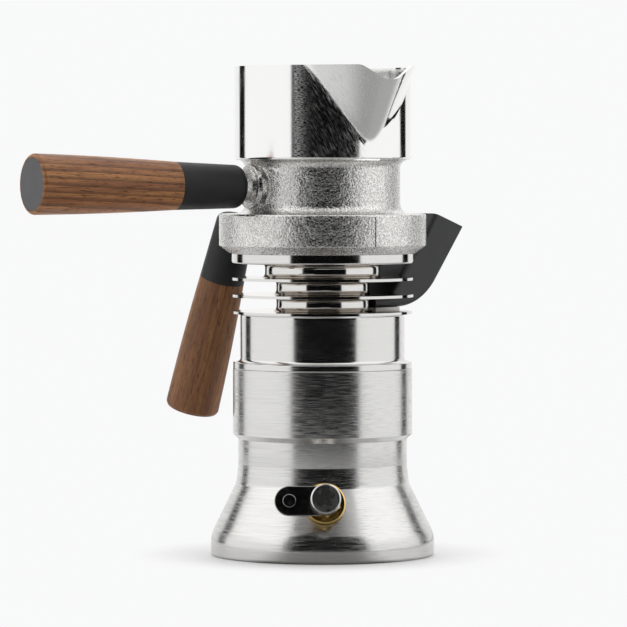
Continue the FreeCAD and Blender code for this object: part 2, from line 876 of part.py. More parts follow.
def grip(start, length, start_radius, end_radius, stud_radius, stud_length):
    """Turned wooden grip about Z that swells a little, with the stud's bore and the end disc's recess."""
    end = start + length
    middle_radius = (start_radius + end_radius) / 2 + grip_swell
    shoulder = end - grip_end_round
    side = Part.Arc(upright(Vector(start_radius, start, 0)),
                    upright(Vector(middle_radius, (start + shoulder) / 2, 0)),
                    upright(Vector(end_radius, shoulder, 0))).toShape()
    lean = grip_end_round * (1 - math.sqrt(0.5))
    corner = Part.Arc(upright(Vector(end_radius, shoulder, 0)),
                      upright(Vector(end_radius - lean, end - lean, 0)),
                      upright(Vector(end_radius - grip_end_round, end, 0))).toShape()
    close = Part.makePolygon([
        upright(Vector(*point, 0)) for point in (
            (end_radius - grip_end_round, end), (end_disc_radius, end),
            (end_disc_radius, end - end_disc_thickness), (0, end - end_disc_thickness),
            (0, start + stud_length), (stud_radius + running_clearance, start + stud_length),
            (stud_radius + running_clearance, start), (start_radius, start),
        )
    ])
    wire = Part.Wire([side, corner] + close.Edges)
    return Part.Face(wire).revolve(CENTRE, UP, 360)


def end_disc(end):
    """Disc set flush into the end of a grip."""
    start = end - end_disc_thickness
    return turned([
        (0, start), (end_disc_radius, start), (end_disc_radius, end, edge_break), (0, end),
    ])


def lower_handle_grip():
    return on_lower_handle(grip(lower_collar_length, lower_grip_length, lower_collar_end_radius,
                                lower_grip_end_radius, handle_stud_radius, handle_stud_in_grip))


def lower_handle_end_disc():
    return on_lower_handle(end_disc(lower_collar_length + lower_grip_length))


# The upper handle's axis rises a little as it goes out
upper_level_out = outwards(upper_handle_azimuth)
upper_tilt = math.radians(upper_handle_tilt)
upper_out = upper_level_out * math.cos(upper_tilt) + UP * math.sin(upper_tilt)
upper_origin = UP * upper_handle_level
upper_collar_end = upper_collar_start + upper_collar_length


def on_upper_handle(shape):
    return stand(shape, upper_origin, upper_out, upper_level_out.cross(UP))


def spout_section(level, radius):
    """Outline of the pouring bulge at a level: two flanks with a rounded nose, and a chord inside the wall."""
    height = level - (rim_level - spout_apex_drop)
    share = height / spout_apex_drop
    nose = spout_apex_nose + (spout_rim_nose - spout_apex_nose) * max(share, 0)
    centre = spout_azimuth - spout_lean * (1 - share)
    half_angle = math.hypot(max(height, 0) / spout_spread, nose) + spout_margin / (spout_slope * spout_spread)
    points = []
    for step in range(-spout_half_points, spout_half_points + 1):
        angle = half_angle * step / spout_half_points
        rise = spout_slope * (height - spout_spread * math.hypot(angle, nose))
        swell = (rise + math.hypot(rise, spout_blend)) / 2 - spout_sink
        points.append(outwards(centre + angle) * (radius + swell) + UP * level)
    curve = Part.BSplineCurve()
    curve.interpolate(points)
    chord = Part.LineSegment(points[-1], points[0])
    return Part.Wire([curve.toShape(), chord.toShape()])


def spout_bulge(radius):
    """Bulge that stands out of a cylinder of the given radius, from below its apex up to the rim."""
    start = rim_level - spout_apex_drop - spout_foot_drop
    levels = [start + (rim_level - start) * number / spout_sections for number in range(spout_sections + 1)]
    return Part.makeLoft([spout_section(level, radius) for level in levels], True, False)


def lip_dip():
    """Cutter for the dip in the pouring lip, seen along the spout."""
    floor = rim_level - lip_dip_depth
    above = rim_level + lip_dip_depth
    half, floor_half = lip_dip_half_width, lip_dip_floor_half_width
    end = half + lip_dip_run_out
    corners = [
        (-end, above), (-end, rim_level), (-half, rim_level, lip_dip_shoulder_round),
        (-floor_half, floor, lip_dip_floor_round), (floor_half, floor, lip_dip_floor_round),
        (half, rim_level, lip_dip_shoulder_round), (end, rim_level), (end, above),
    ]
    inner = jug_bore / 2
    face = Part.Face(rounded_wire(corners, lambda point: Vector(inner, point.x, point.y)))
    cutter = face.extrude(Vector(jug_radius, 0, 0))
    cutter.rotate(CENTRE, UP, spout_azimuth - 90)
    return cutter


def upper_chamber():
    """Casting: clamping ring, neck, jug with its pouring lip, and the stub that carries the handle."""
    outside = turned([
        (0, flange_top), (ring_foot_radius, flange_top),
        (ring_radius, flange_top + ring_cone_height, ring_shoulder_round),
        (ring_radius, ring_top, ring_edge_round), (neck_radius, ring_top, neck_lower_round),
        (neck_radius, jug_bottom, neck_upper_round), (jug_radius, jug_bottom, jug_edge_round),
        (jug_radius, rim_level), (0, rim_level),
    ])
    jug_floor = jug_bottom + jug_edge_round + jug_wall
    inside = turned([
        (0, chamber_floor_top), (neck_bore, chamber_floor_top, neck_inside_round),
        (neck_bore, jug_floor, neck_inside_round), (jug_bore, jug_floor, jug_floor_round),
        (jug_bore, rim_level + cutter_overrun), (0, rim_level + cutter_overrun),
    ])
    underside = turned([
        (0, flange_top - cutter_overrun), (ring_bore, flange_top - cutter_overrun),
        (ring_bore, chamber_ceiling), (0, chamber_ceiling),
    ])
    boss_root = neck_bore + cutter_overrun
    boss = turned([
        (0, boss_root), (boss_radius, boss_root), (boss_radius, boss_reach, boss_edge_round),
        (stub_radius, boss_reach, boss_edge_round), (stub_radius, stub_end, stub_edge_round), (0, stub_end),
    ])
    stud_bottom = stub_end - upper_stud_in_stub
    stud_hole = rod(upper_stud_radius + running_clearance, stud_bottom, stub_end + cutter_overrun)
    mark = block((ring_radius - ring_mark_depth, -ring_mark_width / 2, flange_top + ring_cone_height),
                 (ring_radius + cutter_overrun, ring_mark_width / 2, ring_top - ring_edge_round))
    mark.rotate(CENTRE, UP, ring_mark_azimuth - 90)
    casting = outside.fuse(spout_bulge(jug_radius)).fuse(on_upper_handle(boss))
    casting = casting.cut(inside).cut(spout_bulge(jug_bore)).cut(underside).cut(lip_dip())
    casting = casting.cut(on_upper_handle(stud_hole)).cut(mark)
    return casting.cut(rod(chimney_radius, chamber_ceiling, chamber_floor_top))


def chimney():
    """Tube pressed through the chamber's floor, with a foot that rests on the floor."""
    top = chamber_floor_top + chimney_height
    foot_top = chamber_floor_top + chimney_foot_height
    return turned([
        (chimney_bore_radius, chamber_ceiling), (chimney_radius, chamber_ceiling),
        (chimney_radius, chamber_floor_top), (chimney_foot_radius, chamber_floor_top, edge_break),
        (chimney_foot_radius, foot_top, chimney_foot_round), (chimney_radius, foot_top, chimney_foot_cove),
        (chimney_radius, top, edge_break), (chimney_bore_radius, top),
    ])


def chimney_cap():
    """Cap over the chimney with windows that send the coffee sideways and down."""
    inner = chimney_radius + chimney_cap_clearance
    outer = inner + chimney_cap_wall
    chimney_top = chamber_floor_top + chimney_height
    bottom = chimney_top - (chimney_cap_height - chimney_window_height)
    top = bottom + chimney_cap_height + chimney_cap_wall
    cap = turned([
        (inner, bottom), (outer, bottom, edge_break), (outer, top, chimney_cap_round), (0, top),
        (0, top - chimney_cap_wall), (inner, top - chimney_cap_wall, chimney_cap_inside_round),
    ])
    half = chimney_window_width / 2
    reach = outer + cutter_overrun
    window = block((0, -half, chimney_top), (reach, half, chimney_top + chimney_window_height))
    for number in range(chimney_windows):
        cutter = window.copy()
        cutter.rotate(CENTRE, UP, spout_azimuth + 360 * number / chimney_windows)
        cap = cap.cut(cutter)
    return cap


def upper_handle_stud():
    start = stub_end - upper_stud_in_stub
    return on_upper_handle(rod(upper_stud_radius, start, upper_collar_end + upper_stud_in_grip))


def upper_handle_collar():
    """Moulded collar over the stub's end, bored for the stud."""
    collar = turned([
        (0, upper_collar_start), (upper_collar_start_radius, upper_collar_start, upper_collar_round),
        (upper_collar_end_radius, upper_collar_end), (0, upper_collar_end),
    ])
    socket = rod(stub_radius + running_clearance, upper_collar_start, stub_end)
    bore = rod(upper_stud_radius + running_clearance, upper_collar_start, upper_collar_end)
    return on_upper_handle(collar.cut(socket).cut(bore))


def upper_handle_grip():
    return on_upper_handle(grip(upper_collar_end, upper_grip_length, upper_collar_end_radius,
                                upper_grip_end_radius, upper_stud_radius, upper_stud_in_grip))


def upper_handle_end_disc():
    return on_upper_handle(end_disc(upper_collar_end + upper_grip_length))


PIECES = [
    lower_boiler, relief_washer, relief_valve_body, relief_nut, relief_plunger, relief_spring,
    release_lever, lever_pin, relief_knob, boiler_gasket, upper_boiler_shell, heat_exchanger,
    filler_spout, filler_gasket, coffee_basket, group_gasket, filter_plate, pressure_valve_body,
    pressure_valve_ball, pressure_valve_spring, pressure_valve_cap, dip_tube, cooling_coil,
    lower_handle_arm, lower_handle_collar, lower_handle_grip, lower_handle_end_disc, upper_chamber,
    chimney, chimney_cap, upper_handle_stud, upper_handle_collar, upper_handle_grip, upper_handle_end_disc,
]

os.makedirs("parts", exist_ok=True)
for make in PIECES:
    piece = make()
    if not piece.isValid() or len(piece.Solids) != 1:
        raise ValueError(f"{make.__name__} is not one sound solid")
    piece.Solids[0].exportStep(f"parts/{make.__name__}.step")
    print(make.__name__, round(piece.Volume, 1))
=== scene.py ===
"""Stovetop espresso maker: turned and cast metal, wooden grips, moulded parts and a white studio."""

import math
from typing import NamedTuple

import bmesh
import bpy
from mathutils import Matrix, Vector, noise


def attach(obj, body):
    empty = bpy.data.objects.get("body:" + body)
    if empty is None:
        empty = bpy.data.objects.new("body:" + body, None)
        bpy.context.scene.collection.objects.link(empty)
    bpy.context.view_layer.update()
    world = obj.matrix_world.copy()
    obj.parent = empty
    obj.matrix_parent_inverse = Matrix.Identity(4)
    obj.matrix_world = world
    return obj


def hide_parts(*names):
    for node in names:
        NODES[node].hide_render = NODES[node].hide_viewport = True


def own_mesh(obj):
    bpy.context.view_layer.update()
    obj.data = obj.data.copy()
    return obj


bl_info = {
    "name": "Espresso maker dressing",
    "version": (1, 0, 0),
    "blender": (4, 5, 0),
    "location": "3D View > Sidebar > Espresso",
    "description": "Dresses the packed espresso maker and sets up its studio",
    "category": "Object",
}

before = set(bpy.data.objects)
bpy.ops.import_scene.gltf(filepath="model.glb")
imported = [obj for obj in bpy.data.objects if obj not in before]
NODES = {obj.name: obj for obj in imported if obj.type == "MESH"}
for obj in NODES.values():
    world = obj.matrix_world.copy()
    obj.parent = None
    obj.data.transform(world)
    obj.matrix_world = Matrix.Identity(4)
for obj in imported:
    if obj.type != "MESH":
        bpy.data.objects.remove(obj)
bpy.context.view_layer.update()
MM = 0.001

# Fineness of the meshes: segments of a turned body, angle of an arc's step, angle of a sharp edge,
# distance within which points are merged, steps per turn of thread and spring, and sides of a round wire
SEGMENTS = 128
ARC_STEP = math.radians(9)
SHARP = math.radians(34)
MERGE = 0.0001
THREAD_STEPS = 72
SPRING_STEPS = 36
WIRE_SIDES = 10

# Threads: how deep a ridge's foot sinks into its root, how far its crest stays behind the CAD wall, and
# how many times its height it gains in one turn from its end; lengths in millimetres
THREAD_SINK = 0.05
CREST_GAP = 0.02
THREAD_RUN_OUT = 1.5

# Walnut: cells of each noise per metre, across and along the grip, and the run of the growth rings
RING_SWAY = (55.0, 55.0, 9.0)
FIBRE_CELLS = (1900.0, 1900.0, 60.0)
BAND_CELLS = (210.0, 210.0, 7.0)
PORE_CELLS = 2600.0
RING_DRIFT = 1.5
RING_SLOPE = 0.05

# Polish of the jug, in millimetres: the levels between which it begins, the streaks' width and length, the
# places round the jug, from the front to the right, where streaks and level lines begin and end, and how
# far a streak leans
POLISH_START = (173.6, 174.6)
STREAK_WIDTH = 0.19
STREAK_LENGTH = 6
STREAKS_BEGIN = (-13, -3)
STREAKS_END = (18, 22)
LEVEL_LINE_LENGTH = 1.4
LEVEL_LINES_BEGIN = (-14, -11)
LEVEL_LINES_END = (-11, 0)
SLANT_ROUND = 0.86
SLANT_UP = 0.51

# Heat tint and painted warm reflection between the fins, laid only on faces that look up, in millimetres:
# radius up to which it is full, and radius where it is weakest
TINT_AND_REFLECTION_RADII = (26, 37)


# Sizes and colours that a user would change

def length(name, description, default):
    """Setting in metres."""
    return bpy.props.FloatProperty(
        name=name, description=description, default=default, unit="LENGTH", precision=5)


def degrees(name, description, default):
    """Setting of an angle, whose default is given in degrees."""
    return bpy.props.FloatProperty(
        name=name, description=description, default=math.radians(default), subtype="ANGLE")


def number(name, description, default):
    """Setting without a unit."""
    return bpy.props.FloatProperty(name=name, description=description, default=default)


def colour(name, description, default):
    """Setting of a linear colour."""
    return bpy.props.FloatVectorProperty(
        name=name, description=description, subtype="COLOR", default=default)


class StudioSettings(bpy.types.PropertyGroup):
    camera_distance: length("Camera distance", "From the maker's axis", 1.773)
    camera_height: length("Camera height", "Above the floor", 0.1712)
    camera_offset: length("Camera offset", "Sideways from the axis", -0.004)
    aim_height: length("Aim height", "Height the camera looks at", 0.1063)
    lens: number("Lens", "Focal length in millimetres", 231.0)
    backdrop: colour("Backdrop", "Colour behind the maker", (0.945, 0.947, 0.952))
    floor: colour("Floor", "Colour of the floor", (0.93, 0.93, 0.935))
    # Floor colours seen only in reflections are painted shade: unlit just in front, and darker farther off,
    # most at the right
    unlit_floor: colour("Unlit floor", "Floor just in front, as metal reflects it", (0.3, 0.3, 0.3))
    floor_left: colour("Floor at the left", "Floor farther off, in front and left", (0.7, 0.7, 0.7))
    floor_right: colour("Floor at the right", "Floor farther off, at the right", (0.37, 0.37, 0.37))
    floor_radius: length("Floor radius", "Size of the round floor", 0.62)
    floor_dark: degrees("Unlit floor's half width", "Azimuth up to which the floor is unlit", 24)
    floor_fade: degrees("Unlit floor's fade", "Azimuth over which the floor gets lighter", 26)
    floor_turn: degrees("Floor's change", "Azimuth from which the far floor gets darker to the right", -25)
    floor_turned: degrees("Floor's change ends", "Azimuth at which the far floor is darkest", 16)
    floor_near: length("Near floor", "Distance up to which the near floor's colours hold", 0.12)
    floor_mid: length("Middle floor", "Distance from which the far floor's colours hold", 0.25)
    floor_far: length("Far floor", "Distance from which the floor is light again", 0.42)
    shadow_start: length("Shadow start", "Distance at which the floor's shadow starts to fade", 0.05)
    shadow_end: length("Shadow end", "Distance at which the floor is as pale as the backdrop", 0.088)
    dark_left: degrees("Dark side's left", "Left edge of the unlit side, behind the camera", 41)
    dark_right: degrees("Dark side's right", "Right edge of the unlit side", 48)
    dark_top: degrees("Dark side's top", "Elevation where the overhead light starts", 34)
    dark_fade: degrees("Overhead fade", "Height over which the overhead light comes up", 22)
    dome_rise: degrees("Dome", "How much higher the unlit side reaches in its middle", 12)
    dome_width: degrees("Dome's half width", "Half width of that rise", 55)
    dome_middle: degrees("Dome's middle", "Azimuth of that rise", -5)
    high_light: number("High side light", "How much brighter the side lights are high up", 1.27)
    high_start: degrees("High light starts", "Elevation from which the side lights grow brighter", 8)
    high_end: degrees("High light ends", "Elevation at which they are brightest", 32)
    edge_fade: degrees("Edge fade", "Softness of the side lights' edges", 1.5)
    gap_angle: degrees("Gap", "Azimuth of the gap between side light and backdrop", 129.5)
    gap_half_width: degrees("Gap's half width", "Half width of that gap", 8)
    side_light: number("Side light", "Brightness of the lights at both sides", 1.1)
    top_light: number("Overhead light", "Brightness of the light overhead", 1.3)
    rear_light: number("Rear light", "Brightness of the backdrop on metal", 1.0)
    dark_level: number("Dark level", "Brightness of the unlit side", 0.004)


class MetalSettings(bpy.types.PropertyGroup):
    steel: colour("Steel", "Turned steel", (0.66, 0.655, 0.64))
    satin: number("Satin roughness", "Roughness of the lower boiler", 0.14)
    bright: number("Bright roughness", "Roughness of the upper boiler's shell", 0.1)
    polished: number("Polished roughness", "Roughness of the fins and the jug", 0.07)
    jug: colour("Jug", "Polished steel of the jug", (0.83, 0.83, 0.82))
    # Part heat tint, part painted warm reflection: it is laid only on the faces between the fins that look
    # up
    heat_tint_and_reflection: colour("Heat tint", "Warm tint of the steel between the fins", (0.68, 0.61, 0.54))
    cast: colour("Cast steel", "Blasted neck and clamping ring", (0.83, 0.825, 0.81))
    cast_dark: colour("Pits of the casting", "Darker tone of the blasted surface", (0.5, 0.49, 0.465))
    cast_roughness: number("Cast roughness", "Roughness of the blasted surface", 0.17)
    brass: colour("Brass", "Relief valve's flange and pressure valve", (0.82, 0.57, 0.2))
    copper: colour("Copper", "Sealing washer", (0.83, 0.48, 0.33))
    blackened: colour("Blackened steel", "Lever and its pin", (0.34, 0.335, 0.33))
    grain_pitch: length("Grain pitch", "Spacing of the turned lines", 0.00026)
    grain_run: length("Grain run", "Length of a turned line", 0.007)
    cast_relief: length("Cast relief", "Depth of the blasted surface", 0.00019)
    boss_relief: length("Boss relief", "Depth of the rough skin on the handle's boss", 0.00013)
    polish_relief: length("Polish relief", "Depth of the level lines on the jug", 0.000006)
    jug_streaks: number("Jug streaks", "How much rougher the jug's polish streaks are", 0.3)


class WoodSettings(bpy.types.PropertyGroup):
    light: colour("Light grain", "Lightest colour of the walnut", (0.33, 0.148, 0.052))
    middle: colour("Middle grain", "Main colour of the walnut", (0.19, 0.074, 0.03))
    dark: colour("Dark grain", "Colour of the veins and pores", (0.045, 0.018, 0.01))
    ring_width: length("Ring width", "Spacing of the growth rings", 0.003)
    pore_length: length("Pore length", "Length of the pores along the grip", 0.005)
    roughness: number("Wood roughness", "Roughness of the oiled wood", 0.46)
    relief: length("Wood relief", "Depth of the fibres and pores", 0.00005)
    upper_lightness: number("Upper grip", "How much lighter the upper grip is than the lower", 1.8)
    upper_veins: number("Upper veins", "Strength of the upper grip's veins", 0.55)
    lower_veins: number("Lower veins", "Strength of the lower grip's veins", 0.3)


class MouldingSettings(bpy.types.PropertyGroup):
    black: colour("Black moulding", "Handle collars", (0.0095, 0.0095, 0.01))
    duct: colour("Duct", "Filler duct", (0.017, 0.0175, 0.019))
    disc: colour("End disc", "Discs in the ends of the grips", (0.085, 0.085, 0.09))
    silicone: colour("Silicone", "Gaskets", (0.72, 0.71, 0.67))
    skin_size: length("Skin size", "Grain of the moulded skin", 0.00022)


class ThreadSettings(bpy.types.PropertyGroup):
    pitch: length("Pitch", "Rise of both big threads per turn", 0.002)
    depth: length("Depth", "How far a threaded wall is cut back to its root", 0.00065)
    foot: length("Foot width", "Width of a ridge at its root", 0.0016)
    crest: length("Crest width", "Width of a ridge at its crest", 0.00035)


# Node helpers

def put(tree, kind, inputs=None, **settings):
    """Adds a node; each input is a plain value or another node's output socket."""
    node = tree.nodes.new(kind)
    for key, value in settings.items():
        setattr(node, key, value)
    for key, value in (inputs or {}).items():
        socket = node.inputs[key]
        if isinstance(value, bpy.types.NodeSocket):
            tree.links.new(value, socket)
        else:
            socket.default_value = value
    return node


def maths(tree, operation, *values):
    """Adds a Math node and gives its output."""
    return put(tree, "ShaderNodeMath", dict(enumerate(values)), operation=operation).outputs[0]


def times(tree, first, second):
    """Product of two values."""
    return maths(tree, "MULTIPLY", first, second)


def plus(tree, first, second):
    """Sum of two values."""
    return maths(tree, "ADD", first, second)


def feed(tree, node, **values):
    """Links values to a node's inputs; an underscore in a name stands for a space."""
    for key, value in values.items():
        tree.links.new(value, node.inputs[key.replace("_", " ")])


def split(tree, vector):
    """Adds a Separate XYZ node and gives its outputs."""
    return put(tree, "ShaderNodeSeparateXYZ", {"Vector": vector}).outputs


def turn_about(tree, parts):
    """Angle of a direction about the vertical, from the front to the right."""
    return maths(tree, "ARCTAN2", parts["X"], times(tree, parts["Y"], -1.0))


def distance_from_axis(tree, parts):
    """Radius of a place about the vertical."""
    flat = put(tree, "ShaderNodeCombineXYZ", {"X": parts["X"], "Y": parts["Y"]}).outputs[0]
    return put(tree, "ShaderNodeVectorMath", {0: flat}, operation="LENGTH").outputs["Value"]


def cells(tree, vector, size):
    """Coordinates in which a length of the given size is one unit."""
    return put(tree, "ShaderNodeVectorMath", {
        0: vector, "Scale": maths(tree, "DIVIDE", 1.0, size)}, operation="SCALE").outputs[0]


def remap(tree, value, low, high, new_low=0.0, new_high=1.0):
    """Maps one range to another by a smooth step, clamped."""
    inputs = {"Value": value, "From Min": low, "From Max": high, "To Min": new_low, "To Max": new_high}
    return put(tree, "ShaderNodeMapRange", inputs, interpolation_type="SMOOTHSTEP").outputs["Result"]


def blend_colours(tree, share, first, second):
    """Adds a Mix node for two colours and gives its output."""
    first, second = (value if isinstance(value, bpy.types.NodeSocket) else (*value, 1)
                     for value in (first, second))
    return put(tree, "ShaderNodeMix", {0: share, 6: first, 7: second}, data_type="RGBA").outputs[2]


def blend(tree, share, first, second):
    """Adds a Mix node for two numbers and gives its output."""
    return put(tree, "ShaderNodeMix", {0: share, 2: first, 3: second}, data_type="FLOAT").outputs[0]


def cloud(tree, vector, scale, detail=2.0, roughness=0.5):
    """Adds a Noise Texture and gives its value."""
    inputs = {"Vector": vector, "Scale": scale, "Detail": detail, "Roughness": roughness}
    return put(tree, "ShaderNodeTexNoise", inputs).outputs[0]


def shader_group(name, inputs, outputs):
    """Starts a shader node group; gives the tree, its inputs' sockets and its output node.

    An input is a vector where its default is None, a colour where it is a tuple, and else a number."""
    tree = bpy.data.node_groups.new(name, "ShaderNodeTree")
    kinds = {type(None): "NodeSocketVector", tuple: "NodeSocketColor", float: "NodeSocketFloat"}
    for label, default in inputs.items():
        socket = tree.interface.new_socket(label, in_out="INPUT", socket_type=kinds[type(default)])
        if default is not None:
            socket.default_value = default
    for label in outputs:
        kind = "NodeSocketColor" if label == "Color" else "NodeSocketFloat"
        tree.interface.new_socket(label, in_out="OUTPUT", socket_type=kind)
    return tree, put(tree, "NodeGroupInput").outputs, put(tree, "NodeGroupOutput")


def use_group(tree, name, inputs):
    """Places a shader group in a material and gives its outputs."""
    return put(tree, "ShaderNodeGroup", inputs, node_tree=bpy.data.node_groups[name]).outputs


# Studio

def studio_light(tree, look):
    """Brightness of the studio by direction: unlit behind the camera, lights beside, above and behind."""
    direction = put(tree, "ShaderNodeTexCoord").outputs["Generated"]
    parts = split(tree, direction)
    azimuth = turn_about(tree, parts)
    round_about = maths(tree, "ABSOLUTE", azimuth)
    elevation = maths(tree, "ARCSINE", parts["Z"])
    soft = look.edge_fade
    right = remap(tree, azimuth, look.dark_right - soft, look.dark_right + soft)
    left = remap(tree, azimuth, -look.dark_left - soft, soft - look.dark_left, 1.0, 0.0)
    level = remap(tree, round_about, look.gap_angle - 2 * soft, look.gap_angle + 2 * soft,
                  look.side_light, look.rear_light)
    level = times(tree, level, remap(
        tree, elevation, look.high_start, look.high_end, 1.0, look.high_light))
    near_gap = maths(tree, "ABSOLUTE", maths(tree, "SUBTRACT", round_about, look.gap_angle))
    gap = remap(tree, near_gap, look.gap_half_width - soft, look.gap_half_width + soft)
    sides = times(tree, times(tree, plus(tree, left, right), gap), level)
    walls = plus(tree, sides, look.dark_level)
    aside = maths(tree, "ABSOLUTE", maths(tree, "SUBTRACT", azimuth, look.dome_middle))
    dome = remap(tree, aside, 0.0, look.dome_width, look.dome_rise, 0.0)
    above_dome = maths(tree, "SUBTRACT", elevation, dome)
    overhead = remap(tree, above_dome, look.dark_top, look.dark_top + look.dark_fade)
    return plus(tree, times(tree, walls, maths(tree, "SUBTRACT", 1.0, overhead)),
                times(tree, overhead, look.top_light))


class ESPRESSO_OT_stage(bpy.types.Operator):
    """Makes the floor, the studio's light and the camera"""
    bl_idname = "espresso.stage"
    bl_label = "Studio"

    def execute(self, context):
        look = context.scene.espresso_studio
        self.make_world(context, look)
        self.make_floor(context, look)
        self.make_camera(context, look)
        context.scene.view_settings.view_transform = "Standard"
        return {"FINISHED"}

    def make_world(self, context, look):
        """World that lights by direction and shows the backdrop's colour to the camera"""
        world = bpy.data.worlds.new("Studio")
        world.use_nodes = True
        tree = world.node_tree
        tree.nodes.clear()
        strength = studio_light(tree, look)
        light = put(tree, "ShaderNodeBackground", {"Color": (1, 1, 1, 1), "Strength": strength})
        white = put(tree, "ShaderNodeBackground", {"Color": (*look.backdrop, 1), "Strength": 1.0})
        path = put(tree, "ShaderNodeLightPath").outputs
        seen = maths(tree, "MAXIMUM", path["Is Camera Ray"], path["Is Transmission Ray"])
        mix = put(tree, "ShaderNodeMixShader", {0: seen, 1: light.outputs[0], 2: white.outputs[0]})
        put(tree, "ShaderNodeOutputWorld", {"Surface": mix.outputs[0]})
        context.scene.world = world

    def make_floor(self, context, look):
        """Round floor, pale to the camera, with painted shade that metal reflects: unlit in front, and
        darker farther off, most at the right
        """
        mesh = bpy.data.meshes.new("studio_floor")
        shape = bmesh.new()
        bmesh.ops.create_circle(shape, cap_ends=True, segments=SEGMENTS, radius=look.floor_radius)
        shape.to_mesh(mesh)
        shape.free()
        floor = bpy.data.objects.new("studio_floor", mesh)
        context.scene.collection.objects.link(floor)
        material = bpy.data.materials.new("Pale floor")
        material.use_nodes = True
        tree = material.node_tree
        tree.nodes.clear()
        place = put(tree, "ShaderNodeTexCoord").outputs["Object"]
        reach = put(tree, "ShaderNodeVectorMath", {0: place}, operation="LENGTH").outputs["Value"]
        away = remap(tree, reach, look.shadow_start, look.shadow_end)
        skin = put(tree, "ShaderNodeBump", {
            "Height": cloud(tree, place, 900.0), "Strength": 0.05, "Distance": 0.0002}).outputs[0]
        seen = put(tree, "ShaderNodeLightPath").outputs["Is Camera Ray"]
        # Painted shade for reflections: unlit floor in front, and darker floor farther off towards the
        # right
        azimuth = turn_about(tree, split(tree, place))
        aside = maths(tree, "ABSOLUTE", azimuth)
        lit = remap(tree, aside, look.floor_dark, look.floor_dark + look.floor_fade)
        near = blend_colours(tree, lit, look.unlit_floor, look.floor)
        turned_right = remap(tree, azimuth, look.floor_turn, look.floor_turned)
        middle = blend_colours(tree, turned_right, look.floor_left, look.floor_right)
        colour = blend_colours(tree, remap(tree, reach, look.floor_near, look.floor_mid), near, middle)
        far = remap(tree, reach, look.floor_far, look.floor_radius)
        colour = blend_colours(tree, maths(tree, "MAXIMUM", far, seen), colour, look.floor)
        matt = put(tree, "ShaderNodeBsdfPrincipled", {
            "Base Color": colour, "Roughness": 0.5, "Normal": skin})
        glow = put(tree, "ShaderNodeEmission", {"Color": (*look.backdrop, 1), "Strength": 1.0})
        mix = put(tree, "ShaderNodeMixShader", {
            0: times(tree, away, seen), 1: matt.outputs[0], 2: glow.outputs[0]})
        put(tree, "ShaderNodeOutputMaterial", {"Surface": mix.outputs[0]})
        mesh.materials.append(material)

    def make_camera(self, context, look):
        """Camera at the photograph's viewing angle"""
        data = bpy.data.cameras.new("Camera")
        data.lens = look.lens
        data.sensor_width = 36.0
        data.clip_start = 0.05
        data.clip_end = 20.0
        camera = bpy.data.objects.new("Camera", data)
        context.scene.collection.objects.link(camera)
        camera.location = (look.camera_offset, -look.camera_distance, look.camera_height)
        aim = Vector((look.camera_offset, 0.0, look.aim_height))
        camera.rotation_euler = (aim - camera.location).to_track_quat("-Z", "Y").to_euler()
        context.scene.camera = camera


# Shared surface effects

def turned_grain():
    """Fine rings that a lathe leaves: they follow height on walls and radius on faces."""
    tree, given, result = shader_group(
        "Turned grain", {"Vector": None, "Pitch": 0.0003, "Run": 0.03}, ("Height", "Streak"))
    parts = split(tree, given["Vector"])
    radius = distance_from_axis(tree, parts)
    along = maths(tree, "DIVIDE", plus(tree, parts["X"], times(tree, parts["Y"], 0.7)), given["Run"])
    rings = put(tree, "ShaderNodeCombineXYZ", {
        "X": maths(tree, "DIVIDE", radius, given["Pitch"]),
        "Y": maths(tree, "DIVIDE", parts["Z"], given["Pitch"]), "Z": along}).outputs[0]
    fine = cloud(tree, rings, 1.0, 2.0)
    feed(tree, result, Height=fine, Streak=remap(tree, fine, 0.42, 0.66))


def handling_marks():
    """Soft smudges that hands leave."""
    tree, given, result = shader_group("Handling marks", {"Vector": None, "Size": 0.02}, ("Smudge",))
    smudge = cloud(tree, cells(tree, given["Vector"], given["Size"]), 1.0, 3.0, 0.55)
    feed(tree, result, Smudge=remap(tree, smudge, 0.45, 0.75))


def cast_skin():
    """Blasted casting: small pits and grains of uneven size."""
    tree, given, result = shader_group("Cast skin", {"Vector": None, "Size": 0.0008}, ("Height", "Tone"))
    scaled = cells(tree, given["Vector"], given["Size"])
    grains = put(tree, "ShaderNodeTexVoronoi", {
        "Vector": scaled, "Scale": 0.9, "Smoothness": 0.6}, feature="SMOOTH_F1").outputs["Distance"]
    pits = cloud(tree, scaled, 1.3, 3.0, 0.6)
    waves = cloud(tree, scaled, 0.22, 2.0)
    height = plus(tree, plus(tree, times(tree, grains, 0.5), pits), times(tree, waves, 1.6))
    feed(tree, result, Height=height, Tone=remap(tree, pits, 0.42, 0.58))


def fading_round(tree, around, begin, end, most=1.0):
    """Mask round the jug that comes up between two places and goes out between two others."""
    coming = remap(tree, around, begin[0] * MM, begin[1] * MM)
    going = remap(tree, around, end[0] * MM, end[1] * MM, most, 0.0)
    return times(tree, coming, going)


def on_wall(tree, around, width, level, height):
    """Coordinates on the jug's wall, in units of a width round it and a height up it."""
    return put(tree, "ShaderNodeCombineXYZ", {
        "X": maths(tree, "DIVIDE", around, width), "Y": maths(tree, "DIVIDE", level, height)}).outputs[0]


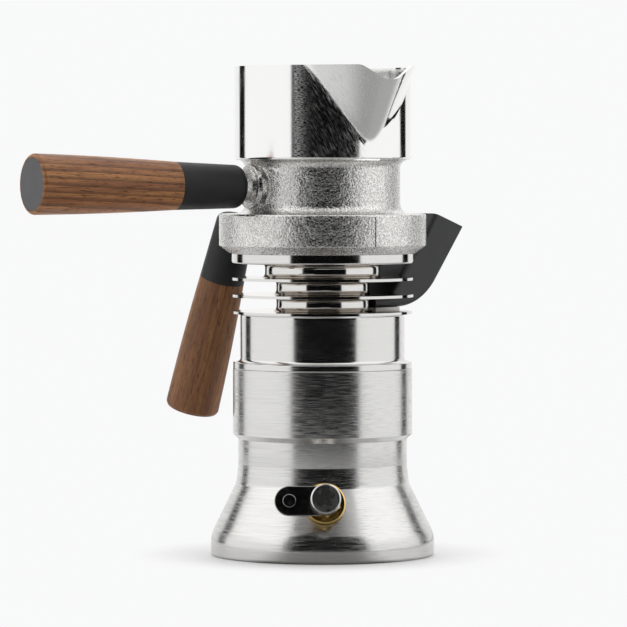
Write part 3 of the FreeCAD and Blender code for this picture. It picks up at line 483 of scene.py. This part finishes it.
def jug_polish():
    """Hand polish of the jug: short level lines, and slanted streaks on the front beside the lip."""
    tree, given, result = shader_group(
        "Jug polish", {"Vector": None, "Radius": 0.039, "Line": 0.0003, "Run": 0.001},
        ("Height", "Streak"))
    parts = split(tree, given["Vector"])
    level = parts["Z"]
    around = times(tree, turn_about(tree, parts), given["Radius"])
    lines = on_wall(tree, around, given["Run"], level, given["Line"])
    across = plus(tree, times(tree, around, SLANT_ROUND), times(tree, level, SLANT_UP))
    along = maths(tree, "SUBTRACT", times(tree, around, SLANT_UP), times(tree, level, SLANT_ROUND))
    slanted = on_wall(tree, across, STREAK_WIDTH * MM, along, STREAK_LENGTH * MM)
    streaks = remap(tree, cloud(tree, slanted, 1.0, 2.0, 0.6), 0.49, 0.66)
    long_lines = on_wall(tree, around, LEVEL_LINE_LENGTH * MM, level, given["Line"])
    level_lines = remap(tree, cloud(tree, long_lines, 1.0, 2.0), 0.38, 0.56)
    front = fading_round(tree, around, STREAKS_BEGIN, STREAKS_END)
    beside = fading_round(tree, around, LEVEL_LINES_BEGIN, LEVEL_LINES_END, 0.9)
    streak = maths(tree, "MAXIMUM", times(tree, streaks, front), times(tree, level_lines, beside))
    feed(tree, result, Height=cloud(tree, lines, 1.0, 2.0), Streak=streak)


def wood_grain():
    """Walnut with growth rings cut lengthwise, fine fibres and short dark pores; Z runs along the grip."""
    tree, given, result = shader_group("Wood grain", {
        "Vector": None, "Light": (0.3, 0.15, 0.07, 1), "Middle": (0.2, 0.1, 0.05, 1),
        "Dark": (0.05, 0.02, 0.01, 1), "Ring width": 0.003, "Pore length": 0.005, "Veins": 0.6},
        ("Color", "Height", "Pores"))
    vector = given["Vector"]
    sway = put(tree, "ShaderNodeMapping", {"Vector": vector, "Scale": RING_SWAY}).outputs[0]
    drift = times(tree, cloud(tree, sway, 1.0, 2.0), RING_DRIFT)
    parts = split(tree, vector)
    slope = plus(tree, parts["X"], times(tree, parts["Z"], RING_SLOPE))
    turns = plus(tree, maths(tree, "DIVIDE", slope, given["Ring width"]), drift)
    ring = maths(tree, "FRACT", turns)
    late = times(tree, remap(tree, ring, 0.35, 0.93), remap(tree, ring, 0.94, 1.0, 1.0, 0.0))
    fibre_space = put(tree, "ShaderNodeMapping", {"Vector": vector, "Scale": FIBRE_CELLS}).outputs[0]
    fibres = cloud(tree, fibre_space, 1.0, 3.0, 0.6)
    bands_space = put(tree, "ShaderNodeMapping", {"Vector": vector, "Scale": BAND_CELLS}).outputs[0]
    bands = cloud(tree, bands_space, 1.0, 2.0)
    pore_scale = maths(tree, "DIVIDE", 1.0, given["Pore length"])
    pore_space = put(tree, "ShaderNodeCombineXYZ", {
        "X": times(tree, parts["X"], PORE_CELLS), "Y": times(tree, parts["Y"], PORE_CELLS),
        "Z": times(tree, parts["Z"], pore_scale)}).outputs[0]
    pores = remap(tree, cloud(tree, pore_space, 1.0, 1.0), 0.6, 0.68)
    body = blend_colours(tree, remap(tree, bands, 0.3, 0.7), given["Middle"], given["Light"])
    veined = blend_colours(tree, times(tree, late, given["Veins"]), body, given["Dark"])
    tinted = blend_colours(tree, remap(tree, fibres, 0.35, 0.75, 0.0, 0.45), veined, given["Dark"])
    final = blend_colours(tree, times(tree, pores, 0.75), tinted, given["Dark"])
    height = maths(tree, "SUBTRACT", times(tree, fibres, 0.35), pores)
    feed(tree, result, Color=final, Height=height, Pores=pores)


def moulded_skin():
    """Fine spark-eroded texture of a moulding with slightly uneven gloss."""
    tree, given, result = shader_group("Moulded skin", {"Vector": None, "Size": 0.0002}, ("Height", "Tone"))
    scaled = cells(tree, given["Vector"], given["Size"])
    feed(tree, result, Height=cloud(tree, scaled, 1.0, 2.0), Tone=cloud(tree, scaled, 0.02, 3.0))


# Materials

def start_material(name, base, metallic, roughness, **sockets):
    """New material with its shader's plain values set; gives material, tree, shader and coordinates."""
    material = bpy.data.materials.new(name)
    material.use_nodes = True
    tree = material.node_tree
    shader = tree.nodes["Principled BSDF"]
    shader.inputs["Base Color"].default_value = (*base, 1)
    shader.inputs["Metallic"].default_value = metallic
    shader.inputs["Roughness"].default_value = roughness
    for key, value in sockets.items():
        shader.inputs[key.replace("_", " ")].default_value = value
    return material, tree, shader, put(tree, "ShaderNodeTexCoord").outputs["Object"]


def bumped(tree, shader, height, distance):
    """Feeds a height to the shader's normal; the distance is in metres."""
    bump = put(tree, "ShaderNodeBump", {"Height": height, "Strength": 1.0, "Distance": distance})
    feed(tree, shader, Normal=bump.outputs[0])


def turned_metal(name, base, roughness, depth, streaks, anisotropic=0.0, tint_and_reflection=None, shade=0.1):
    """Lathe-turned metal: rings in its relief, rougher and darker streaks, and a few smudges."""
    look = bpy.context.scene.espresso_metals
    material, tree, shader, place = start_material(name, base, 1.0, roughness, Anisotropic=anisotropic)
    grain = use_group(tree, "Turned grain", {
        "Vector": place, "Pitch": look.grain_pitch, "Run": look.grain_run})
    marks = use_group(tree, "Handling marks", {"Vector": place, "Size": 0.02})
    if anisotropic:
        tangent = put(tree, "ShaderNodeTangent", direction_type="RADIAL", axis="Z")
        feed(tree, shader, Tangent=tangent.outputs[0])
    metal = base
    # Heat tint between the fins together with a painted warm reflection: the tint is laid only on faces
    # that look up
    if tint_and_reflection:
        radius = distance_from_axis(tree, split(tree, place))
        upward = split(tree, put(tree, "ShaderNodeNewGeometry").outputs["Normal"])["Z"]
        deep = remap(tree, radius, TINT_AND_REFLECTION_RADII[0] * MM, TINT_AND_REFLECTION_RADII[1] * MM, 1.0, 0.25)
        metal = blend_colours(tree, times(tree, deep, remap(tree, upward, 0.05, 0.6)), base, tint_and_reflection)
    darker = blend_colours(tree, times(tree, grain["Streak"], shade), metal, (0.3, 0.3, 0.3))
    rough = plus(tree, roughness, times(tree, grain["Streak"], streaks))
    rough = plus(tree, rough, times(tree, marks["Smudge"], 0.035))
    feed(tree, shader, Base_Color=darker, Roughness=rough)
    bumped(tree, shader, grain["Height"], depth)
    return material


def chamber_metal():
    """One casting: blasted ring and neck, and a jug that is polished above its bottom edge."""
    look = bpy.context.scene.espresso_metals
    material, tree, shader, place = start_material(
        "Cast and polished steel", look.cast, 1.0, look.cast_roughness)
    jug = remap(tree, split(tree, place)["Z"], POLISH_START[0] * MM, POLISH_START[1] * MM)
    skin = use_group(tree, "Cast skin", {"Vector": place, "Size": 0.0009})
    polish = use_group(tree, "Jug polish", {"Vector": place})
    marks = use_group(tree, "Handling marks", {"Vector": place, "Size": 0.018})
    rough_tone = blend_colours(tree, skin["Tone"], look.cast_dark, look.cast)
    tone = blend_colours(tree, jug, rough_tone, look.jug)
    blasted = plus(tree, look.cast_roughness, times(tree, skin["Tone"], 0.12))
    shiny = plus(tree, look.polished + 0.02, times(tree, marks["Smudge"], 0.06))
    shiny = plus(tree, shiny, times(tree, polish["Streak"], look.jug_streaks))
    feed(tree, shader, Base_Color=tone, Roughness=blend(tree, jug, blasted, shiny))
    height = blend(tree, jug, times(tree, skin["Height"], look.cast_relief),
                   times(tree, polish["Height"], look.polish_relief))
    bumped(tree, shader, height, 1.0)
    return material


def boss_metal():
    """Rough casting of the handle's boss."""
    look = bpy.context.scene.espresso_metals
    material, tree, shader, place = start_material("Rough cast boss", look.cast, 1.0, look.cast_roughness)
    skin = use_group(tree, "Cast skin", {"Vector": place, "Size": 0.0007})
    feed(tree, shader, Base_Color=blend_colours(tree, skin["Tone"], look.cast_dark, look.cast),
         Roughness=plus(tree, look.cast_roughness, times(tree, skin["Tone"], 0.12)))
    bumped(tree, shader, skin["Height"], look.boss_relief)
    return material


def small_metal(name, base, roughness, depth=0.003):
    """Small turned or drawn metal part with a fine skin and smudges; its depth is in millimetres."""
    material, tree, shader, place = start_material(name, base, 1.0, roughness)
    skin = use_group(tree, "Moulded skin", {"Vector": place, "Size": 0.0004})
    marks = use_group(tree, "Handling marks", {"Vector": place, "Size": 0.004})
    darker = tuple(0.6 * value for value in base)
    shade = blend_colours(tree, times(tree, marks["Smudge"], 0.25), base, darker)
    feed(tree, shader, Base_Color=shade, Roughness=plus(tree, roughness, times(tree, marks["Smudge"], 0.1)))
    bumped(tree, shader, skin["Height"], depth * MM)
    return material


def moulding(name, base, roughness, depth=0.03, **sockets):
    """Moulded plastic or rubber with a fine skin, whose depth is in millimetres."""
    look = bpy.context.scene.espresso_mouldings
    material, tree, shader, place = start_material(name, base, 0.0, roughness, **sockets)
    skin = use_group(tree, "Moulded skin", {"Vector": place, "Size": look.skin_size})
    marks = use_group(tree, "Handling marks", {"Vector": place, "Size": 0.012})
    paler = tuple(1.35 * value + 0.004 for value in base)
    rough = maths(tree, "SUBTRACT", roughness, times(tree, marks["Smudge"], 0.08))
    feed(tree, shader, Base_Color=blend_colours(tree, skin["Tone"], base, paler), Roughness=rough)
    bumped(tree, shader, skin["Height"], depth * MM)
    return material


def walnut(name, turn, veins, lighter=1.0):
    """Oiled walnut with its grain along Z of the grip's frame, which the matrix turns to the object's."""
    look = bpy.context.scene.espresso_wood
    material, tree, shader, place = start_material(
        name, look.middle, 0.0, look.roughness, Specular_IOR_Level=0.35)
    back = turn.inverted()
    own = put(tree, "ShaderNodeMapping", {
        "Vector": place, "Location": back.translation, "Rotation": back.to_euler("XYZ")}).outputs[0]
    grain = use_group(tree, "Wood grain", {
        "Vector": own, "Light": (*(lighter * value for value in look.light), 1),
        "Middle": (*(lighter * value for value in look.middle), 1), "Dark": (*look.dark, 1),
        "Ring width": look.ring_width, "Pore length": look.pore_length, "Veins": veins})
    marks = use_group(tree, "Handling marks", {"Vector": place, "Size": 0.015})
    rough = plus(tree, look.roughness, times(tree, grain["Pores"], 0.25))
    rough = maths(tree, "SUBTRACT", rough, times(tree, marks["Smudge"], 0.06))
    feed(tree, shader, Base_Color=grain["Color"], Roughness=rough)
    bumped(tree, shader, grain["Height"], look.relief)
    return material


def dress(names, material):
    """Gives CAD nodes a material."""
    for name in names:
        data = NODES[name].data
        data.materials.clear()
        data.materials.append(material)


# Mesh helpers, in millimetres

def rounded(corners):
    """Points of a closed profile; its corners are (a, b) or (a, b, round)."""
    points = []
    for place, corner in enumerate(corners):
        here = Vector(corner[:2])
        if len(corner) == 2:
            points.append(here)
            continue
        back = (Vector(corners[place - 1][:2]) - here).normalized()
        ahead = (Vector(corners[(place + 1) % len(corners)][:2]) - here).normalized()
        half = back.angle(ahead) / 2
        centre = here + (back + ahead).normalized() * (corner[2] / math.sin(half))
        start = here + back * (corner[2] / math.tan(half)) - centre
        sweep = math.pi - 2 * half
        side = -1 if back.x * ahead.y - back.y * ahead.x > 0 else 1
        steps = max(3, math.ceil(sweep / ARC_STEP))
        for step in range(steps + 1):
            points.append(centre + Matrix.Rotation(side * sweep * step / steps, 2) @ start)
    return points


def skin_of_rings(rings):
    """Mesh through rings of points; a ring of one point is a pole."""
    shape = bmesh.new()
    made = [[shape.verts.new(Vector(point) * MM) for point in ring] for ring in rings]
    for first, second in zip(made, made[1:]):
        if len(first) == 1 and len(second) == 1:
            continue
        count = max(len(first), len(second))
        for place in range(count):
            following = (place + 1) % count
            corners = [first[place % len(first)], first[following % len(first)],
                       second[following % len(second)], second[place % len(second)]]
            shape.faces.new(list(dict.fromkeys(corners)))
    bmesh.ops.recalc_face_normals(shape, faces=shape.faces)
    return shape


def turned(corners):
    """Skin turned about Z from a profile of (radius, height) corners that starts and ends on the axis."""
    rings = []
    for radius, height in rounded(corners):
        if radius < 1e-6:
            rings.append([(0, 0, height)])
        else:
            turns = [2 * math.pi * number / SEGMENTS for number in range(SEGMENTS)]
            rings.append([(radius * math.sin(turn), -radius * math.cos(turn), height) for turn in turns])
    return skin_of_rings(rings)


def with_ends(rings):
    """Closes a run of rings with a pole in the middle of each end."""
    first, last = ([sum(map(Vector, ring), Vector()) / len(ring)] for ring in (rings[0], rings[-1]))
    return skin_of_rings([first, *rings, last])


class Thread(NamedTuple):
    """A thread on a wall of the CAD, in millimetres; its side is 1 in a bore and -1 on a spigot.

    The wall's points lie between two radii and two levels, and the ridge runs between two levels."""
    side: int
    radius: float
    least: float
    greatest: float
    wall_bottom: float
    wall_top: float
    bottom: float
    top: float
    start: float = 0.0


def thread_ridge(thread):
    """Right-handed ridge of a thread, from its root to its crest, that runs out at both ends."""
    shape = bpy.context.scene.espresso_threads
    pitch = shape.pitch / MM
    foot = shape.foot / 2 / MM
    tip = shape.crest / 2 / MM
    root = thread.radius + thread.side * shape.depth / MM
    crest = thread.radius + thread.side * CREST_GAP
    sunk = root + thread.side * THREAD_SINK
    turns = (thread.top - thread.bottom) / pitch
    count = math.ceil(turns * THREAD_STEPS)
    rings = []
    for step in range(count + 1):
        along = turns * step / count
        rise = min(1.0, along * THREAD_RUN_OUT, (turns - along) * THREAD_RUN_OUT)
        reach = root + (crest - root) * rise
        angle = 2 * math.pi * along + thread.start
        level = thread.bottom + along * pitch
        ring = []
        for radius, offset in ((sunk, -foot), (reach, -tip), (reach, tip), (sunk, foot)):
            ring.append((radius * math.cos(angle), radius * math.sin(angle), level + offset))
        rings.append(ring)
    return with_ends(rings)


class Spring(NamedTuple):
    """A compression spring of round wire about Z: radii of coil and wire, and levels of its ends, in
    millimetres, closed turns at each end, and active turns."""
    middle: float
    wire: float
    bottom: float
    top: float
    closed: float
    active: float


def wire_spring(spring):
    """Wire of a spring: its closed turns lie on each other, and its active turns share the rest."""
    wire = spring.wire
    turns = 2 * spring.closed + spring.active
    free = spring.top - spring.bottom - 2 * wire - 4 * spring.closed * wire
    count = math.ceil(turns * SPRING_STEPS)
    rings = []
    for step in range(count + 1):
        along = turns * step / count
        lower = min(along, spring.closed) * 2 * wire
        upper = max(0.0, along - spring.closed - spring.active) * 2 * wire
        opened = free * min(max(along - spring.closed, 0.0), spring.active) / spring.active
        level = spring.bottom + wire + lower + upper + opened
        angle = 2 * math.pi * along
        ring = []
        for corner in range(WIRE_SIDES):
            turn = 2 * math.pi * corner / WIRE_SIDES
            radius = spring.middle + wire * math.cos(turn)
            ring.append((radius * math.cos(angle), radius * math.sin(angle), level + wire * math.sin(turn)))
        rings.append(ring)
    return with_ends(rings)


def roughen(shape, reach, grain, seed):
    """Moves points by up to a reach, by seeded noise with a grain of the given size, as on a casting."""
    noise.seed_set(seed)
    for corner in shape.verts:
        corner.co += noise.noise_vector(corner.co / (grain * MM)) * reach * MM


def show(name, mesh, body, material, replaced=()):
    """Links a mesh as a piece that rides on a body and may stand for CAD nodes."""
    piece = bpy.data.objects.new(name, mesh)
    bpy.context.scene.collection.objects.link(piece)
    mesh.materials.clear()
    mesh.materials.append(material)
    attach(piece, body)
    if replaced:
        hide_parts(*replaced)
    return piece


def finish_piece(name, shape, body, material, replaced=()):
    """Turns a bmesh into a piece with smooth shading between its sharp edges."""
    for edge in shape.edges:
        edge.smooth = len(edge.link_faces) == 2 and edge.calc_face_angle(0) < SHARP
    for face in shape.faces:
        face.smooth = True
    mesh = bpy.data.meshes.new(name)
    shape.to_mesh(mesh)
    shape.free()
    return show(name, mesh, body, material, replaced)


def recut(node, thread):
    """Merged copy of a node's mesh whose threaded wall is moved back to the thread's root.

    The copy keeps the node's own normals, so that its rounds stay smooth."""
    change = thread.side * bpy.context.scene.espresso_threads.depth / MM
    source = NODES[node].data
    shape = bmesh.new()
    shape.from_mesh(source)
    kept = shape.loops.layers.float_vector.new("kept")
    corners = [loop for face in shape.faces for loop in face.loops]
    for loop, corner in zip(corners, source.corner_normals):
        loop[kept] = corner.vector
    bmesh.ops.remove_doubles(shape, verts=shape.verts, dist=MERGE * MM)
    for corner in shape.verts:
        radius = math.hypot(corner.co.x, corner.co.y) / MM
        level = corner.co.z / MM
        if thread.least < radius < thread.greatest and thread.wall_bottom < level < thread.wall_top:
            corner.co.xy *= (radius + change) / radius
    mesh = bpy.data.meshes.new(node + "_recut")
    shape.to_mesh(mesh)
    shape.free()
    normals = [value.vector.copy() for value in mesh.attributes["kept"].data]
    mesh.attributes.remove(mesh.attributes["kept"])
    mesh.normals_split_custom_set(normals)
    return mesh


def show_threaded(name, node, ridge_name, body, material, thread):
    """Shows a node with its threaded wall cut back, and the thread's ridge as a piece of its own."""
    show(name, recut(node, thread), body, material, [node])
    finish_piece(ridge_name, thread_ridge(thread), body, material)


# The maker's own sizes, in millimetres as in the CAD

BOILER_THREAD = Thread(
    side=1, radius=36.0, least=35.9, greatest=36.35, wall_bottom=59.9, wall_top=82.4,
    bottom=62.0, top=81.6, start=math.pi)
SHELL_THREAD = Thread(
    side=-1, radius=35.7, least=35.35, greatest=35.75, wall_bottom=61.9, wall_top=82.35,
    bottom=63.0, top=81.8)
EXCHANGER_THREAD = Thread(
    side=-1, radius=39.0, least=38.6, greatest=39.05, wall_bottom=132.9, wall_top=147.1,
    bottom=134.2, top=146.4)
CHAMBER_THREAD = Thread(
    side=1, radius=39.3, least=39.2, greatest=39.35, wall_bottom=132.9, wall_top=149.1,
    bottom=134.0, top=147.8, start=math.pi)
SHELL_BODY = "upper_boiler"

# Relief valve: its origin and outward direction, and its spring from there; spring of the pressure valve
RELIEF_ORIGIN = (0.878, -41.892, 25.4)
RELIEF_OUT = (0.020485, -0.977933, 0.207912)
RELIEF_SPRING = Spring(middle=2.75, wire=0.35, bottom=-1, top=9, closed=1, active=4)
VALVE_SPRING = Spring(middle=3.2, wire=0.25, bottom=79.3, top=81, closed=0.5, active=1.3)

# Handles: azimuth from the front to the right, slope down, and level of the upper handle's axis
UPPER_AZIMUTH = math.radians(-61)
UPPER_SLOPE = math.radians(-0.76)
UPPER_LEVEL = 161.75
LOWER_AZIMUTH = math.radians(-137.5)
LOWER_SLOPE = math.atan(1 / 0.356)

# Boss of the upper handle: profile of (radius, distance along, round), and reach, grain and seed of its
# noise
BOSS_PROFILE = (
    (0, 31), (10.45, 31), (10.4, 35.6, 0.4), (9.5, 37.3, 0.5), (8.3, 36.6, 0.5), (7.2, 36.75, 0.5),
    (6.5, 38.3, 1.0), (6.45, 43.9), (0, 43.9),
)
BOSS_REACH = 0.28
BOSS_GRAIN = 2.2
BOSS_SEED = 7


# Steps

class ESPRESSO_OT_lower_boiler(bpy.types.Operator):
    """Gives the lower boiler its satin turned finish and the thread in its band"""
    bl_idname = "espresso.lower_boiler"
    bl_label = "Lower boiler"

    def execute(self, context):
        look = context.scene.espresso_metals
        satin = turned_metal("Satin turned steel", look.steel, look.satin, depth=0.002 * MM, streaks=0.11,
                             anisotropic=0.8, shade=0.06)
        show_threaded("boiler_turned", "lower_boiler", "boiler_thread", "lower_boiler",
                      satin, BOILER_THREAD)
        return {"FINISHED"}


class ESPRESSO_OT_upper_boiler(bpy.types.Operator):
    """Gives the upper boiler's shell and the finned bar above it their finish and threads"""
    bl_idname = "espresso.upper_boiler"
    bl_label = "Upper boiler"

    def execute(self, context):
        look = context.scene.espresso_metals
        bright = turned_metal("Bright turned steel", look.steel, look.bright, depth=0.0012 * MM,
                              streaks=0.06, anisotropic=0.7, shade=0.03)
        show_threaded("shell_turned", "upper_boiler_shell", "shell_thread", SHELL_BODY,
                      bright, SHELL_THREAD)
        polished = turned_metal("Polished turned steel", look.steel, look.polished, depth=0.0012 * MM,
                                streaks=0.05, tint_and_reflection=look.heat_tint_and_reflection)
        show_threaded("exchanger_turned", "heat_exchanger", "exchanger_thread", SHELL_BODY,
                      polished, EXCHANGER_THREAD)
        return {"FINISHED"}


class ESPRESSO_OT_chamber(bpy.types.Operator):
    """Gives the cast upper chamber its finishes, its thread and the rough boss of its handle"""
    bl_idname = "espresso.chamber"
    bl_label = "Upper chamber"

    def execute(self, context):
        show_threaded("chamber_cast", "upper_chamber", "chamber_thread", "upper_chamber",
                      chamber_metal(), CHAMBER_THREAD)
        boss = turned(BOSS_PROFILE)
        bmesh.ops.transform(boss, matrix=upper_handle_frame(), verts=boss.verts)
        roughen(boss, BOSS_REACH, BOSS_GRAIN, BOSS_SEED)
        finish_piece("handle_boss", boss, "upper_chamber", boss_metal())
        return {"FINISHED"}


def handle_frame(azimuth, slope_down, level=0.0):
    """Matrix from a handle's own frame, whose Z runs out along it, to the object's."""
    out = Vector((math.sin(azimuth), -math.cos(azimuth), 0))
    along = (out * math.cos(slope_down) - Vector((0, 0, math.sin(slope_down)))).normalized()
    across = along.cross(Vector((0, 0, 1))).normalized()
    up = along.cross(across)
    turn = Matrix((across, up, along)).transposed().to_4x4()
    turn.translation = Vector((0, 0, level * MM))
    return turn


def upper_handle_frame():
    """Matrix from the upper handle's frame to the object's."""
    return handle_frame(UPPER_AZIMUTH, UPPER_SLOPE, UPPER_LEVEL)


class ESPRESSO_OT_handles(bpy.types.Operator):
    """Gives both handles their walnut grips, moulded collars and end discs"""
    bl_idname = "espresso.handles"
    bl_label = "Handles"

    def execute(self, context):
        look = context.scene.espresso_mouldings
        wood = context.scene.espresso_wood
        upper = upper_handle_frame() @ Matrix.Rotation(math.pi / 2, 4, "Z")
        lower = handle_frame(LOWER_AZIMUTH, LOWER_SLOPE)
        dress(["upper_handle_grip"], walnut(
            "Walnut of the upper grip", upper, wood.upper_veins, wood.upper_lightness))
        dress(["lower_handle_grip"], walnut("Walnut of the lower grip", lower, wood.lower_veins))
        dress(["upper_handle_collar", "lower_handle_collar"], moulding(
            "Black moulding", look.black, 0.5, Specular_IOR_Level=0.35))
        dress(["upper_handle_end_disc", "lower_handle_end_disc"], moulding("End disc", look.disc, 0.5))
        return {"FINISHED"}


class ESPRESSO_OT_filler(bpy.types.Operator):
    """Finishes the moulded filler duct"""
    bl_idname = "espresso.filler"
    bl_label = "Filler duct"

    def execute(self, context):
        look = context.scene.espresso_mouldings
        dress(["filler_spout"], moulding("Moulded duct", look.duct, 0.4, 0.02, Specular_IOR_Level=0.4))
        return {"FINISHED"}


class ESPRESSO_OT_relief_valve(bpy.types.Operator):
    """Finishes the relief valve, its lever and knob, and the pressure valve's brass body"""
    bl_idname = "espresso.relief_valve"
    bl_label = "Relief valve"

    def execute(self, context):
        look = context.scene.espresso_metals
        brass = small_metal("Brass", look.brass, 0.16)
        dress(["relief_valve_body", "relief_nut", "pressure_valve_body"], brass)
        dress(["release_lever", "lever_pin"], small_metal("Blackened steel", look.blackened, 0.16))
        dress(["relief_knob", "relief_plunger"], small_metal("Small bright steel", look.steel, 0.25, 0.006))
        dress(["relief_washer"], small_metal("Copper", look.copper, 0.3))
        out = Vector(RELIEF_OUT)
        spring = wire_spring(RELIEF_SPRING)
        turn = Vector((0, 0, 1)).rotation_difference(out).to_matrix().to_4x4()
        turn.translation = Vector(RELIEF_ORIGIN) * MM
        bmesh.ops.transform(spring, matrix=turn, verts=spring.verts)
        piece = finish_piece("relief_spring_wire", spring, "lower_boiler",
                             small_metal("Spring steel", look.steel, 0.22), ["relief_spring"])
        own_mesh(piece)
        return {"FINISHED"}


class ESPRESSO_OT_inner_parts(bpy.types.Operator):
    """Finishes the parts inside the maker, the gaskets and the handles' metal"""
    bl_idname = "espresso.inner_parts"
    bl_label = "Inner parts"

    def execute(self, context):
        look = context.scene.espresso_metals
        sealing = context.scene.espresso_mouldings.silicone
        bright = small_metal("Bright drawn steel", look.steel, 0.2)
        dress(["coffee_basket", "filter_plate", "chimney", "chimney_cap", "dip_tube", "pressure_valve_ball",
               "pressure_valve_cap", "lower_handle_arm", "upper_handle_stud", "cooling_coil",
               "relief_spring", "pressure_valve_spring"], bright)
        spring = wire_spring(VALVE_SPRING)
        piece = finish_piece("valve_spring_wire", spring, SHELL_BODY, bright,
                             ["pressure_valve_spring"])
        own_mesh(piece)
        dress(["boiler_gasket", "group_gasket", "filler_gasket"], moulding("Silicone", sealing, 0.5))
        return {"FINISHED"}


class ESPRESSO_PT_panel(bpy.types.Panel):
    """Lists the steps and their settings"""
    bl_idname = "ESPRESSO_PT_panel"
    bl_label = "Espresso maker"
    bl_space_type = "VIEW_3D"
    bl_region_type = "UI"
    bl_category = "Espresso"

    def draw(self, context):
        for step in STEPS:
            self.layout.operator(step.bl_idname)
        for name, group in SETTINGS.items():
            box = self.layout.box()
            box.label(text=group.__name__.replace("Settings", ""))
            for key in group.__annotations__:
                box.prop(getattr(context.scene, name), key)


STEPS = (
    ESPRESSO_OT_stage, ESPRESSO_OT_lower_boiler, ESPRESSO_OT_upper_boiler, ESPRESSO_OT_chamber,
    ESPRESSO_OT_handles, ESPRESSO_OT_filler, ESPRESSO_OT_relief_valve, ESPRESSO_OT_inner_parts,
)
SETTINGS = {
    "espresso_studio": StudioSettings, "espresso_metals": MetalSettings, "espresso_wood": WoodSettings,
    "espresso_mouldings": MouldingSettings, "espresso_threads": ThreadSettings,
}
CLASSES = (*SETTINGS.values(), *STEPS, ESPRESSO_PT_panel)


def register():
    """Registers the settings, the steps and the panel."""
    for kind in CLASSES:
        bpy.utils.register_class(kind)
    for name, group in SETTINGS.items():
        setattr(bpy.types.Scene, name, bpy.props.PointerProperty(type=group))


def unregister():
    """Takes away all that register added."""
    for name in SETTINGS:
        delattr(bpy.types.Scene, name)
    for kind in reversed(CLASSES):
        bpy.utils.unregister_class(kind)


def main():
    """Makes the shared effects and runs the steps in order."""
    register()
    for effect in (turned_grain, handling_marks, cast_skin, jug_polish, wood_grain, moulded_skin):
        effect()
    for step in STEPS:
        area, name = step.bl_idname.split(".")
        getattr(getattr(bpy.ops, area), name)()


if __name__ == "__main__":
    main()
